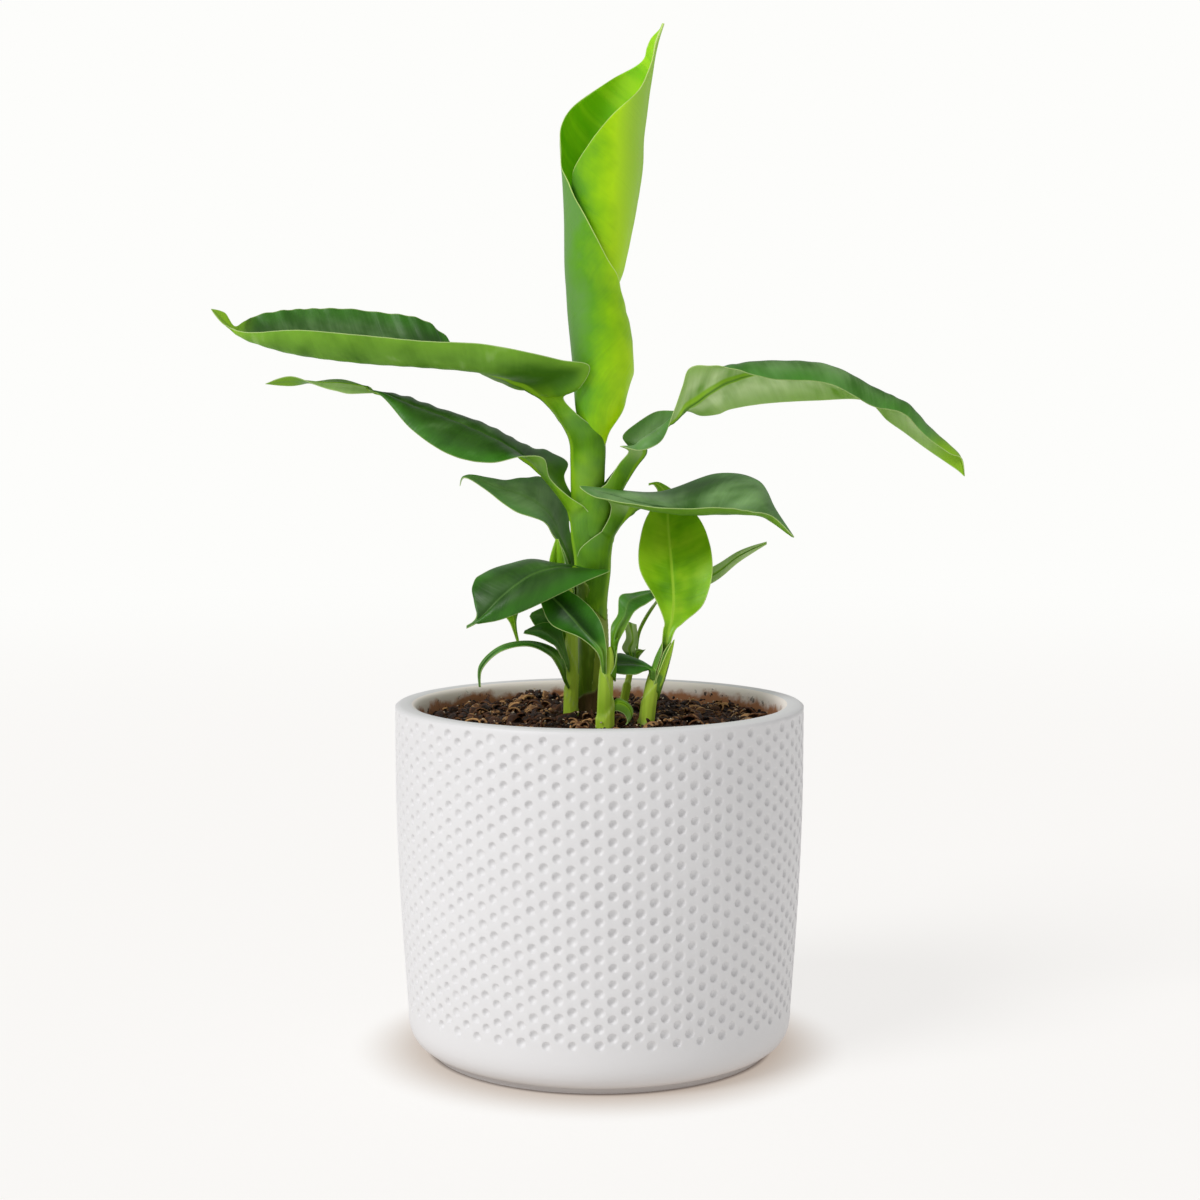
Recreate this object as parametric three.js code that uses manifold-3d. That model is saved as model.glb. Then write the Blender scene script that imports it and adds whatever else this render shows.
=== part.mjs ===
// Potted banana plant: a young banana with one rolled new leaf, five open leaves
// and four side shoots, in a white ceramic pot with dimpled walls.
// Millimetres, +Z up, +X to the right as seen from the front, +Y to the back.
// The origin is the centre of the pot's flat foot, on the surface it stands on.

import * as THREE from 'three';
import * as BufferGeometryUtils from 'three/addons/utils/BufferGeometryUtils.js';
import Module from 'manifold-3d';

const wasm = await Module();
wasm.setup();

// Driving dimensions of the pot
const POT_RADIUS = 75;
const POT_HEIGHT = 129;
const POT_WALL = 8;
const POT_FLOOR = 14;
const POT_TAPER = 4;
const SHOULDER_RADIUS = 70.5;
const FOOT_CURVE = [[0, 59.8], [1.4, 63], [4.4, 67.4], [9.2, 70.1]];

// The rim from the outside in: how far under the top, and how far in from the outer wall
const RIM_CURVE = [[1, 0.8], [0, 2.6], [0, 6.5], [1.5, POT_WALL]];
const DIMPLE_RADIUS_STEP = 1.1;
const DIMPLES_PER_ROW = 24;
const DIMPLE_FIRST_Z = 19;
const DIMPLE_LAST_Z = 124;
const DIMPLE_ROWS = 19;

// Driving dimensions of the soil
const SOIL_TOP = 121;
const SOIL_RADIUS = 66;
const SOIL_RINGS = 6;
const SOIL_SECTORS = 30;
const SOIL_RISE = 2;
const LUMP_HEIGHT = 0.9;
const RIPPLE_HEIGHT = 0.5;
const CHIP_COUNT = 18;
const CHIP_LENGTH = 9;
const CHIP_WIDTH_SHARE = 0.5;
const CHIP_THICKNESS = 3.4;
const CHIPS_FROM = 26;
const CHIPS_TO = 60;
const CHIP_TILT = 0.35;
const CHIP_SEED = 11;

// Clearance between pieces that touch
const GAP = 0.3;

// Thickness of a blade at its margin, and of its rib at the stem and at the tip
const MARGIN_THICKNESS = 0.7;
const RIB_AT_STEM = 2.6;
const RIB_AT_TIP = 0.9;

// Share of a leaf's length in which its sheath thickens into the stalk
const SHEATH_SHARE = 0.14;

// Sides of a stem, and the steps along it between two of its stations
const STEM_SIDES = 12;
const STEM_STEPS = 2;

const COLOURS = {
  ceramic: 0xeeeeec,
  soil: 0x3b2519,
  stem: 0x6a8f2b,
  oldStem: 0x5d6a26,
  leaf: 0x2f6b2a,
  youngLeaf: 0x7cb518,
};

const material = (colour, roughness) =>
  new THREE.MeshStandardMaterial({ color: colour, roughness, metalness: 0 });
const CERAMIC = material(COLOURS.ceramic, 0.5);
const SOIL = material(COLOURS.soil, 1);
const STEM = material(COLOURS.stem, 0.5);
const OLD_STEM = material(COLOURS.oldStem, 0.6);
const LEAF = material(COLOURS.leaf, 0.45);
const YOUNG_LEAF = material(COLOURS.youngLeaf, 0.45);

const plant = new THREE.Group();

function addPiece(name, geometry, pieceMaterial) {
  geometry.computeVertexNormals();
  const mesh = new THREE.Mesh(geometry, pieceMaterial);
  mesh.name = name;
  plant.add(mesh);
}

// Solids and their joins and cuts

function geometryFrom(positions, triangles) {
  const geometry = new THREE.BufferGeometry();
  geometry.setAttribute('position', new THREE.Float32BufferAttribute(positions, 3));
  geometry.setIndex(triangles);
  return geometry;
}

function toSolid(geometry) {
  const bare = geometry.clone();
  bare.deleteAttribute('normal');
  bare.deleteAttribute('uv');
  const merged = BufferGeometryUtils.mergeVertices(bare, 1e-4);
  return new wasm.Manifold(new wasm.Mesh({
    numProp: 3,
    vertProperties: new Float32Array(merged.attributes.position.array),
    triVerts: new Uint32Array(merged.index.array),
  }));
}

function toGeometry(solid) {
  const mesh = solid.getMesh();
  return geometryFrom(Array.from(mesh.vertProperties), Array.from(mesh.triVerts));
}

// The largest body of a cut solid: the scraps that a cut leaves are dropped
function largestBody(solid) {
  const bodies = solid.decompose();
  return bodies.reduce((best, body) => (body.volume() > best.volume() ? body : best));
}

// A smooth curve's value between the middle two of four stations
function blend(before, from, to, after, t) {
  const curve = -before + 3 * from - 3 * to + after;
  const slope = 2 * before - 5 * from + 4 * to - after;
  return from + 0.5 * t * (to - before + t * (slope + t * curve));
}

// Rows of numbers put in between a list of stations, on smooth curves through them
function smoothRows(stations, steps) {
  const last = stations.length - 1;
  const rows = [];
  for (let k = 0; k < last; k += 1) {
    const before = stations[Math.max(k - 1, 0)];
    const after = stations[Math.min(k + 2, last)];
    for (let j = 0; j < steps; j += 1) {
      const t = j / steps;
      rows.push(stations[k].map((value, i) => blend(before[i], value, stations[k + 1][i], after[i], t)));
    }
  }
  rows.push([...stations[last]]);
  return rows;
}

// A stem: rings of the given radius round the path [x, y, z, radius], closed at both ends
function stemSolid(stations, extra = 0, sides = STEM_SIDES) {
  const rings = smoothRows(stations, STEM_STEPS);
  const positions = [];
  for (const [x, y, z, radius] of rings) {
    for (let i = 0; i < sides; i += 1) {
      const angle = (2 * Math.PI * i) / sides;
      const reach = radius + extra;
      positions.push(x + reach * Math.cos(angle), y + reach * Math.sin(angle), z);
    }
  }
  const first = rings[0];
  const last = rings[rings.length - 1];
  positions.push(first[0], first[1], first[2] - extra);
  positions.push(last[0], last[1], last[2] + extra);
  const bottom = rings.length * sides;
  const top = bottom + 1;
  const triangles = [];
  for (let i = 0; i < sides; i += 1) {
    const next = (i + 1) % sides;
    for (let r = 0; r < rings.length - 1; r += 1) {
      const low = r * sides;
      const high = low + sides;
      triangles.push(low + i, low + next, high + next, low + i, high + next, high + i);
    }
    const end = (rings.length - 1) * sides;
    triangles.push(bottom, next, i, top, end + i, end + next);
  }
  return toSolid(geometryFrom(positions, triangles));
}

// A sheet with two faces and closed borders, from a grid of points on its middle
function sheetSolid(grid, thicknessAt) {
  const rows = grid.length;
  const columns = grid[0].length;
  const faces = [[], []];
  for (let r = 0; r < rows; r += 1) {
    for (let c = 0; c < columns; c += 1) {
      const along = grid[Math.min(r + 1, rows - 1)][c].clone().sub(grid[Math.max(r - 1, 0)][c]);
      const across = grid[r][Math.min(c + 1, columns - 1)].clone().sub(grid[r][Math.max(c - 1, 0)]);
      const under = along.cross(across).normalize();
      const [above, below] = thicknessAt(r / (rows - 1), c / (columns - 1));
      faces[0].push(grid[r][c].clone().addScaledVector(under, -above));
      faces[1].push(grid[r][c].clone().addScaledVector(under, below));
    }
  }
  const positions = [...faces[0], ...faces[1]].flatMap((point) => point.toArray());
  const lower = rows * columns;
  const triangles = [];
  const quad = (a, b, c, d) => triangles.push(a, b, c, a, c, d);
  for (let r = 0; r < rows - 1; r += 1) {
    for (let c = 0; c < columns - 1; c += 1) {
      const a = r * columns + c;
      const b = a + 1;
      const d = a + columns;
      const e = d + 1;
      triangles.push(a, b, e, a, e, d);
      triangles.push(lower + a, lower + e, lower + b, lower + a, lower + d, lower + e);
    }
    const left = r * columns;
    const right = left + columns - 1;
    quad(left, left + columns, left + columns + lower, left + lower);
    quad(right, right + lower, right + columns + lower, right + columns);
  }
  for (let c = 0; c < columns - 1; c += 1) {
    const end = (rows - 1) * columns + c;
    quad(c, c + lower, c + 1 + lower, c + 1);
    quad(end, end + 1, end + 1 + lower, end + lower);
  }
  return toSolid(geometryFrom(positions, triangles));
}

// One half of a blade, from its rib out to its margin, bowed towards its underside
function halfPoints(rib, margin, along, bow, side, columns) {
  const across = margin.clone().sub(rib).multiplyScalar(side);
  const under = along.clone().cross(across).normalize();
  const points = [];
  for (let c = 1; c <= columns; c += 1) {
    const u = c / columns;
    const swell = 4 * u * (1 - u) * bow;
    points.push(rib.clone().lerp(margin, u).addScaledVector(under, swell));
  }
  return points;
}

// A leaf from its stations, stem to tip. A station is the place of one margin, the
// rib and the other margin, then how far each half bows towards the underside.
// wave lifts the margins up and down by that much, in the given number of waves.
// The rib is thin at the foot of the sheath, thick in the stalk and thin at the tip.
function leafSolid(stations, { steps, columns, ribAtStem = RIB_AT_STEM, wave = 0, waves = 0 }) {
  const rows = smoothRows(stations.map((station) => station.flat()), steps);
  const ribs = rows.map((row) => new THREE.Vector3(row[3], row[4], row[5]));
  const grid = rows.map((row, r) => {
    const along = ribs[Math.min(r + 1, rows.length - 1)].clone().sub(ribs[Math.max(r - 1, 0)]);
    const t = r / (rows.length - 1);
    const lift = wave * Math.sin(2 * Math.PI * waves * t) * Math.sin(Math.PI * t);
    const first = new THREE.Vector3(row[0], row[1], row[2] + lift);
    const second = new THREE.Vector3(row[6], row[7], row[8] - lift);
    const firstHalf = halfPoints(ribs[r], first, along, row[9], -1, columns);
    const secondHalf = halfPoints(ribs[r], second, along, row[10], 1, columns);
    return [...firstHalf.reverse(), ribs[r], ...secondHalf];
  });
  return sheetSolid(grid, (t, s) => {
    const rib = THREE.MathUtils.lerp(ribAtStem, RIB_AT_TIP, t) - MARGIN_THICKNESS;
    const fromFoot = Math.min(1, t / SHEATH_SHARE);
    const nearRib = Math.max(0, 1 - Math.abs(s - 0.5) * 5);
    return [MARGIN_THICKNESS / 2, MARGIN_THICKNESS / 2 + rib * fromFoot * nearRib];
  });
}

// Pot

// Radius of the outer wall at a height: it leans out towards the rim
function wallRadius(z) {
  const lean = THREE.MathUtils.clamp((z - 10) / 100, 0, 1);
  return SHOULDER_RADIUS + (POT_RADIUS - SHOULDER_RADIUS) * Math.sin((lean * Math.PI) / 2);
}

// A honeycomb of shallow pits: every third point of a triangular grid is pushed in
function potRings() {
  const points = DIMPLES_PER_ROW * 3;
  const rings = [];
  const plain = (z, radius) => rings.push({ z, radii: new Array(points).fill(radius) });
  for (const [z, radius] of FOOT_CURVE) {
    plain(z, radius);
  }
  const pitch = (DIMPLE_LAST_Z - DIMPLE_FIRST_Z) / (DIMPLE_ROWS - 1);
  for (let row = 0; row < DIMPLE_ROWS; row += 1) {
    const z = DIMPLE_FIRST_Z + row * pitch;
    const radii = [];
    for (let m = 0; m < points; m += 1) {
      const isPit = (((m - row) % 3) + 3) % 3 === 0;
      radii.push(wallRadius(z) - (isPit ? DIMPLE_RADIUS_STEP : 0));
    }
    rings.push({ z, radii, turn: row / 2 });
  }
  const lastTurn = (DIMPLE_ROWS - 1) / 2;
  const rim = RIM_CURVE.map(([drop, inset]) => [POT_HEIGHT - drop, POT_RADIUS - inset]);
  for (const [z, radius] of [...rim, [POT_FLOOR, SOIL_RADIUS - POT_TAPER]]) {
    plain(z, radius);
    rings[rings.length - 1].turn = lastTurn;
  }
  return rings;
}

function potGeometry() {
  const rings = potRings();
  const points = DIMPLES_PER_ROW * 3;
  const positions = [];
  for (const { z, radii, turn = 0 } of rings) {
    radii.forEach((radius, m) => {
      const angle = (2 * Math.PI * (m + turn)) / points;
      positions.push(radius * Math.cos(angle), radius * Math.sin(angle), z);
    });
  }
  positions.push(0, 0, 0, 0, 0, POT_FLOOR);
  const under = rings.length * points;
  const inside = under + 1;
  const triangles = [];
  for (let m = 0; m < points; m += 1) {
    const next = (m + 1) % points;
    for (let r = 0; r < rings.length - 1; r += 1) {
      const low = r * points;
      const high = low + points;
      triangles.push(low + m, low + next, high + m, low + next, high + next, high + m);
    }
    const end = (rings.length - 1) * points;
    triangles.push(under, next, m, inside, end + m, end + next);
  }
  return geometryFrom(positions, triangles);
}

// Soil

// A short repeatable run of random numbers from 0 to 1
function randomRun(seed) {
  let state = seed;
  return () => {
    state = (state * 16807) % 2147483647;
    return state / 2147483647;
  };
}

function soilHeight(x, y) {
  const radius = Math.hypot(x, y);
  const mound = SOIL_RISE * Math.cos((Math.PI * radius) / (2 * SOIL_RADIUS));
  const lumps = LUMP_HEIGHT * Math.sin(0.31 * x + 1) * Math.cos(0.27 * y);
  const ripples = RIPPLE_HEIGHT * Math.sin(0.6 * x - 0.5 * y);
  return SOIL_TOP + mound + lumps + ripples;
}

function soilBody() {
  const positions = [0, 0, soilHeight(0, 0)];
  for (let ring = 1; ring <= SOIL_RINGS; ring += 1) {
    const radius = ((SOIL_RADIUS - GAP) * ring) / SOIL_RINGS;
    for (let i = 0; i < SOIL_SECTORS; i += 1) {
      const angle = (2 * Math.PI * i) / SOIL_SECTORS;
      const x = radius * Math.cos(angle);
      const y = radius * Math.sin(angle);
      positions.push(x, y, soilHeight(x, y));
    }
  }
  const floorRadius = SOIL_RADIUS - POT_TAPER - GAP;
  for (let i = 0; i < SOIL_SECTORS; i += 1) {
    const angle = (2 * Math.PI * i) / SOIL_SECTORS;
    positions.push(floorRadius * Math.cos(angle), floorRadius * Math.sin(angle), POT_FLOOR + GAP);
  }
  positions.push(0, 0, POT_FLOOR + GAP);
  const ringStart = (ring) => 1 + (ring - 1) * SOIL_SECTORS;
  const floorCentre = 1 + (SOIL_RINGS + 1) * SOIL_SECTORS;
  const triangles = [];
  for (let i = 0; i < SOIL_SECTORS; i += 1) {
    const next = (i + 1) % SOIL_SECTORS;
    triangles.push(0, 1 + i, 1 + next);
    for (let ring = 1; ring <= SOIL_RINGS; ring += 1) {
      const inner = ringStart(ring);
      const outer = ringStart(ring + 1);
      triangles.push(inner + i, outer + i, outer + next, inner + i, outer + next, inner + next);
    }
    const floor = ringStart(SOIL_RINGS + 1);
    triangles.push(floorCentre, floor + next, floor + i);
  }
  return toSolid(geometryFrom(positions, triangles));
}

// Bark chips, sunk half way into the soil round the stems
function barkChips() {
  const random = randomRun(CHIP_SEED);
  const chips = [];
  for (let i = 0; i < CHIP_COUNT; i += 1) {
    const length = CHIP_LENGTH * (0.5 + 0.6 * random());
    const chip = new THREE.BoxGeometry(length, length * CHIP_WIDTH_SHARE, CHIP_THICKNESS);
    const angle = 2 * Math.PI * random();
    const radius = THREE.MathUtils.lerp(CHIPS_FROM, CHIPS_TO, Math.sqrt(random()));
    const x = radius * Math.cos(angle);
    const y = radius * Math.sin(angle);
    const lean = () => CHIP_TILT * (2 * random() - 1);
    const tilt = new THREE.Euler(lean(), lean(), Math.PI * random());
    chip.applyMatrix4(new THREE.Matrix4().makeRotationFromEuler(tilt));
    chip.translate(x, y, soilHeight(x, y));
    chips.push(toSolid(chip));
  }
  return chips;
}

// Stems: [x, y, z, radius] from below the soil up

const MAIN_STEM = [
  [-4, 10, 96, 6], [-4, 10, 108, 8], [-4, 10, 120, 7.4], [-3.5, 9, 130, 6.6], [-2.5, 5, 148, 6],
  [-3, 2, 165, 6], [-3.2, 0.5, 181, 6.1], [-3.6, 0, 195, 6.1], [-4, 0, 207, 6], [-4.2, 0, 217, 5.8],
  [-2.5, 0, 226, 4.8],
];
const LEFT_STEM = [
  [-11, 1, 102, 2.2], [-11, 1, 116, 2.8], [-10.5, 0.5, 124, 2.6], [-10, -3, 146, 2.5],
  [-10.2, -5, 157, 2.4], [-10.8, -8, 167, 1.9], [-11.2, -10.4, 173.5, 1],
];
const FRONT_STEM = [
  [2, -26, 102, 2.8], [2, -26, 114, 3.6], [2, -26, 124, 3.1], [2.5, -26, 140, 2.8],
  [3.2, -25.5, 147, 2.3], [3.7, -25, 152, 1.3],
];
const RIGHT_STEM = [
  [16, -18, 102, 2.8], [16.5, -17.5, 114, 3.6], [16.8, -17, 122, 3], [19, -16.5, 137, 2.7],
  [22.3, -15, 146.5, 2.4], [23.3, -14.8, 150, 1.6], [24, -14.4, 153, 0.8],
];
const SMALL_STEM = [
  [8, 24, 106, 1.6], [8.5, 24, 118, 2], [9, 24, 124, 1.6], [11, 23, 134, 1.4], [12.8, 22.5, 142, 1.3],
];

// Leaves of the main stem

const UPPER_LEFT_LEAF = [
  [[-3, -6.6, 216], [-10.6, 0, 212], [-3, 6.6, 216], 2.4, 2.4],
  [[0, -6.6, 226], [-11.6, 0, 224], [0, 6.6, 226], 3.4, 3.4],
  [[-8, -7.2, 234], [-16, 0, 234], [-8, 7.2, 234], 2, 2],
  [[-13, -5, 240], [-21, 0, 240], [-18, 5, 242], 1, 1],
  [[-7, -10, 243.5], [-24, 0, 242], [-23, 8, 243], 2, 0],
  [[-3.6, -13, 251.3], [-28, 0, 244.5], [-30, 12, 243], 3, -1],
  [[-14, -14.5, 253.4], [-32, 0, 246.5], [-36, 15, 244.5], 4, -1],
  [[-25, -16, 256], [-37, 0, 248.5], [-43, 18, 248], 5, -1],
  [[-42, -17, 259], [-50, 0, 252], [-54, 17, 260], 6, 2],
  [[-62, -17, 260], [-66, 0, 254], [-66, 15, 269], 6, 3],
  [[-84, -17, 262], [-86, 0, 255], [-84, 15, 272], 6, 3],
  [[-107, -14, 264], [-109, 0, 257], [-106, 12, 273], 5, 2],
  [[-124, -8, 264], [-125, 0, 262], [-123, 7, 271], 2, 1],
  [[-134, -3, 268], [-134, 0, 267], [-133, 3, 270], 0, 0],
  [[-140.5, -0.6, 273], [-140.5, 0, 273], [-140.5, 0.6, 273], 0, 0],
];
const MIDDLE_LEFT_LEAF = [
  [[-3.5, -6.5, 195], [-10, 0, 190], [-3.5, 6.5, 195], 2, 2],
  [[-6, -7, 201], [-11.5, 0, 199], [-7, 7, 201], 2, 2],
  [[-12, -6, 205], [-15, 0, 205], [-11, 6, 206], 1, 1],
  [[-18, -5, 211], [-19, 0, 211], [-13, 7, 211], 1, 1],
  [[-20, -9, 218], [-23, 0, 215], [-12, 11, 216], 1.5, 0],
  [[-27, -10, 219], [-27, 0, 218], [-18, 12, 220], 0, 0],
  [[-40, -10, 216.5], [-36, 1, 224], [-28, 12, 223], -1.5, -1],
  [[-54, -11, 219.5], [-51, 1, 231], [-43, 12, 230], -2, -1.5],
  [[-68, -7, 228.5], [-67, 1, 237], [-60, 9, 236], -1.5, -1],
  [[-80, 0, 241], [-80, 1, 242], [-75, 5, 241.5], -0.5, 0],
  [[-93, 5, 246.5], [-92, 0, 244.5], [-90, -4, 241.5], 0, 0],
  [[-103, 2, 246], [-102, -1, 245], [-101, -4, 244], 0, 0],
  [[-112, 1, 244.5], [-112, -1, 246], [-112, -3, 247.5], 0, 0],
  [[-121, -0.6, 244.6], [-121, -1, 245], [-121, -1.4, 245.4], 0, 0],
];
const LOW_LEFT_LEAF = [
  [[-9.6, 0.4, 174], [-8.4, 5.2, 171], [-4, 7.9, 174], 1.8, 1.8],
  [[-13, 1.5, 184], [-11.5, 5, 182], [-8, 8.5, 184], 1, 1],
  [[-17, 0, 190], [-15, 5, 190], [-11, 11, 191], 0.8, 0.5],
  [[-20.5, -3, 195], [-19, 4, 198], [-12, 15, 204], 1, 0.5],
  [[-31, -5, 199], [-27, 3, 204], [-20, 16, 210.5], 1, 0],
  [[-42, -3, 207], [-39, 1, 208], [-35, 7, 210], 0.5, 0],
  [[-49, -2, 211], [-49, -0.8, 211.5], [-48, 0.5, 212], 0, 0],
  [[-51, -2.6, 208], [-51, -2, 208], [-51, -1.4, 208], 0, 0],
];
const UPPER_RIGHT_LEAF = [
  [[-3.4, 6.8, 203], [2.9, 0, 199], [-3.4, -6.8, 203], 2, 2],
  [[1, 6.5, 210], [6, 0, 208], [1, -6.5, 210], 2, 2],
  [[7.5, 5, 216], [12.5, 0, 214.5], [7, -5, 216], 1, 1],
  [[11, 4, 221], [16, 0, 220], [10.5, -4, 220.5], 0.8, 0.8],
  [[8.5, 3.5, 226], [16, 0, 222], [7.5, -7, 222.5], 0.5, 0.5],
  [[14, 6, 231], [18, 0, 226], [14.5, -8.5, 221], 0.5, -1.5],
  [[21, 6, 235], [23.5, 0, 230], [22.5, -7, 224.5], 0.5, -2],
  [[28, 3, 235.4], [27.5, 0, 233.3], [27, -3, 235.2], 0, 0],
  [[33, 5, 235], [31, 0, 236.5], [30, -5, 244], 0, 0],
  [[37.5, 7, 233.5], [35, 0, 239], [32.5, -7, 250.5], 0.5, 0],
  [[43.5, 8, 234], [41.5, 0, 243.5], [40, -8, 251.5], 0, -1],
  [[49, 8, 236], [49, 0, 247], [47.5, -10, 250.5], -0.5, -3],
  [[62, 7, 238], [62, 0, 250], [62, -11, 246.5], -1, -5],
  [[80, 5, 239], [80, 0, 247], [82, -11, 245], -1, -6],
  [[97, 4, 239], [97, 0, 241.5], [98, -9, 237], -1, -5],
  [[111, 5, 229], [112, 0, 233], [112, -7, 232], -1, -3],
  [[123, 3, 220], [124, 0, 223], [124, -5, 224], -0.6, -1],
  [[133.5, 0.6, 211], [133.5, 0, 211.3], [133.5, -0.6, 211.6], 0, 0],
];
const MIDDLE_RIGHT_LEAF = [
  [[-1, 7, 183], [3.4, 0, 180], [-1, -6.6, 183], 2.4, 2.4],
  [[2, 7.5, 191], [5.5, 0, 191], [1, -7.6, 192], 2, 2],
  [[7.5, 5, 198], [10, -1, 197.5], [4.5, -8, 198], 1, 1],
  [[7.5, -5.5, 203], [13.5, -3, 200.5], [2.5, -10.5, 203], 0, 1],
  [[-6.5, -11.8, 208.4], [17, -4, 200.8], [-7, -14, 207.5], 0, 1.5],
  [[2, -8, 207.5], [22, -4, 200.2], [0, -15.2, 204], -0.5, 2],
  [[22, 9, 205.5], [33, -3, 199], [24, -16, 200.5], -1, 3],
  [[44, 17, 212], [46, -3, 199], [44, -14, 201], -2, 3],
  [[59, 14, 209.5], [56, -3, 199], [55, -10, 199.5], -2, 2],
  [[65, 5, 199], [63, -3, 195.5], [63, -6, 197], -0.5, 0.5],
  [[71, -2.9, 189.5], [71, -3.5, 189.3], [71, -4.1, 189.5], 0, 0],
];

// The rolled new leaf: a scroll whose turns widen and then open towards the tip.
// A station is [z, centre x, centre y, radius at the rib, where the inner margin
// is, where the outer margin is], with turns in degrees from the front by way of
// the right, and the rib at 90.
const ROLLED_LEAF = [
  [226.4, -1.8, 0, 3, -80, 430],
  [238, -0.4, 0, 5.6, -120, 440],
  [252, 0.6, 0, 8.6, -170, 450],
  [266, -0.8, 0, 8.6, -180, 455],
  [279, -2.3, 0, 8, -168, 427],
  [290, -0.9, 0, 10, -150, 376],
  [304, 0.5, 0, 11.5, -130, 337],
  [316, 1.3, 0, 12.8, -98, 304],
  [324, 1.5, 0, 13.6, -60, 277],
  [333, 1.4, 0, 14, -20, 270],
  [341, 2.7, 0, 13.7, 4, 264],
  [349, 5.2, 0, 12.2, 32, 230],
  [356, 8.5, 0, 10, 57, 200],
  [362, 11.3, 0, 8.1, 68, 151],
  [368, 13.6, 0, 7.3, 78, 142],
  [374, 16.2, 0, 6.4, 86, 97],
];
const SCROLL_PITCH = 3.2;
const SCROLL_COLUMNS = 17;

// Leaves of the four side shoots

const LEFT_SHOOT_BIG_LEAF = [
  [[-11.5, -14, 174], [-10.5, -11.5, 175], [-9, -9, 174], 0.6, 0.6],
  [[2.5, -15, 177], [-9, -12, 179.3], [2, -10.5, 178.6], 0.5, 0.5],
  [[-12, -22, 172], [-17, -17, 180], [-14, -5, 180.5], -1.5, -1.5],
  [[-25, -28, 166.5], [-25, -22, 176.5], [-26, -7, 181.5], -2, -2],
  [[-35, -30, 163], [-33, -26, 170], [-39, -15, 177.5], -1.5, -1.5],
  [[-41, -30, 161], [-40, -29, 163], [-44, -22, 172], -0.8, -0.8],
  [[-44, -30.6, 160], [-43.5, -30, 161], [-43.5, -29, 163], 0, 0],
  [[-47, -31, 158.5], [-47, -30.6, 159], [-47, -30.2, 159.5], 0, 0],
];
const LEFT_SHOOT_YOUNG_LEAF = [
  [[-13.5, -2.4, 157], [-12.5, -1.8, 156], [-11, -2.6, 157], 0, 0],
  [[-16.5, -0.5, 168], [-15, 1.5, 168], [-12.5, 0.5, 168], -0.8, -0.8],
  [[-18.5, -1.4, 179], [-16, 0, 179], [-12.5, -1, 179], -0.8, -0.8],
  [[-16.1, -2.5, 188.6], [-15.5, -2.5, 188.6], [-14.9, -2.5, 188.6], 0, 0],
];
const LEFT_SHOOT_HANGING_LEAF = [
  [[-15, -7, 159.5], [-14, -6.5, 159.5], [-13.6, -6, 160.5], 0, 0],
  [[-21.5, -5.5, 167], [-20.5, -4, 169], [-19.5, -2.4, 171.5], 0.5, 0.5],
  [[-28.5, -4, 166.5], [-27, 0, 170.5], [-26.5, 3, 174], 0.8, 0.8],
  [[-34.5, -5, 162], [-32, -2, 163], [-29, 1, 164], 0.3, 0.3],
  [[-32.5, -4.5, 157.5], [-31.5, -3.5, 157.5], [-30.5, -2.5, 158], 0, 0],
  [[-30.3, -4.6, 151], [-29.8, -4.5, 151], [-29.3, -4.4, 151], 0, 0],
];
const LEFT_SHOOT_SIDE_LEAF = [
  [[-12.5, -8, 143], [-12, -6.5, 143], [-11, -5, 144], 0.3, 0.3],
  [[-15.5, -11, 149.5], [-14.5, -9.5, 150], [-13, -6, 152], 0.4, 0.4],
  [[-18, -12, 151.5], [-16.5, -10.5, 153], [-14.5, -6, 156.5], 0.4, 0.4],
  [[-23, -13, 154], [-21, -12, 156], [-20, -8, 158.5], 0.3, 0.3],
  [[-27.5, -12.8, 155], [-27.3, -12.5, 155.5], [-27.1, -12.2, 156], 0, 0],
];
const LEFT_SHOOT_BACK_LEAF = [
  [[-13, -3, 149.5], [-12.5, -2, 150], [-11.5, -1, 150.5], 0.2, 0.2],
  [[-17.5, -4, 154.5], [-16, -2, 156.5], [-13.5, 0, 158.5], 0.3, 0.3],
  [[-23, -4.5, 156.5], [-20.5, -2.5, 160.5], [-17.5, -0.5, 164], 0.4, 0.4],
  [[-25.6, -4.2, 160.5], [-25.2, -4, 161], [-24.8, -3.6, 161.8], 0, 0],
];
const LEFT_SHOOT_ARCHING_LEAF = [
  [[-12.5, -6.5, 132], [-12.5, -5, 132], [-12, -4, 132.5], 0.3, 0.3],
  [[-13.5, -10.5, 139.5], [-14, -9.5, 140], [-14, -7.5, 140.5], 0.3, 0.3],
  [[-18, -13, 147], [-18, -11.5, 148.5], [-17, -9, 149], 0.4, 0.4],
  [[-26, -13.5, 150.5], [-26, -12, 151.5], [-25.5, -9.5, 152], 0.4, 0.4],
  [[-36, -13.5, 148.3], [-36, -12.5, 149.8], [-36, -10.5, 150.3], 0.3, 0.3],
  [[-42.5, -13.5, 142], [-43, -13.3, 143], [-43.5, -11.5, 143.5], 0.2, 0.2],
  [[-43, -13.8, 135.5], [-43.4, -13.5, 135.5], [-43.8, -13, 135.5], 0, 0],
];
const FRONT_SHOOT_LEFT_LEAF = [
  [[0.5, -28.5, 145], [1.5, -29.5, 145], [2.5, -29, 145], 0.4, 0.4],
  [[-1, -29, 150], [0.3, -29, 151], [2.5, -27, 151.5], 0.5, 0.5],
  [[-7, -27, 155], [-5, -24.5, 156.5], [0.5, -20, 160], 1, 1],
  [[-17, -23, 159], [-13, -20, 165], [-5.5, -15, 167], 1, 1],
  [[-21, -18, 166.5], [-19, -15, 170.5], [-14.5, -13, 172.5], 0.5, 0.5],
  [[-22.4, -12.3, 173.7], [-22, -12, 174], [-21.6, -11.7, 174.3], 0, 0],
];
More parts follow.
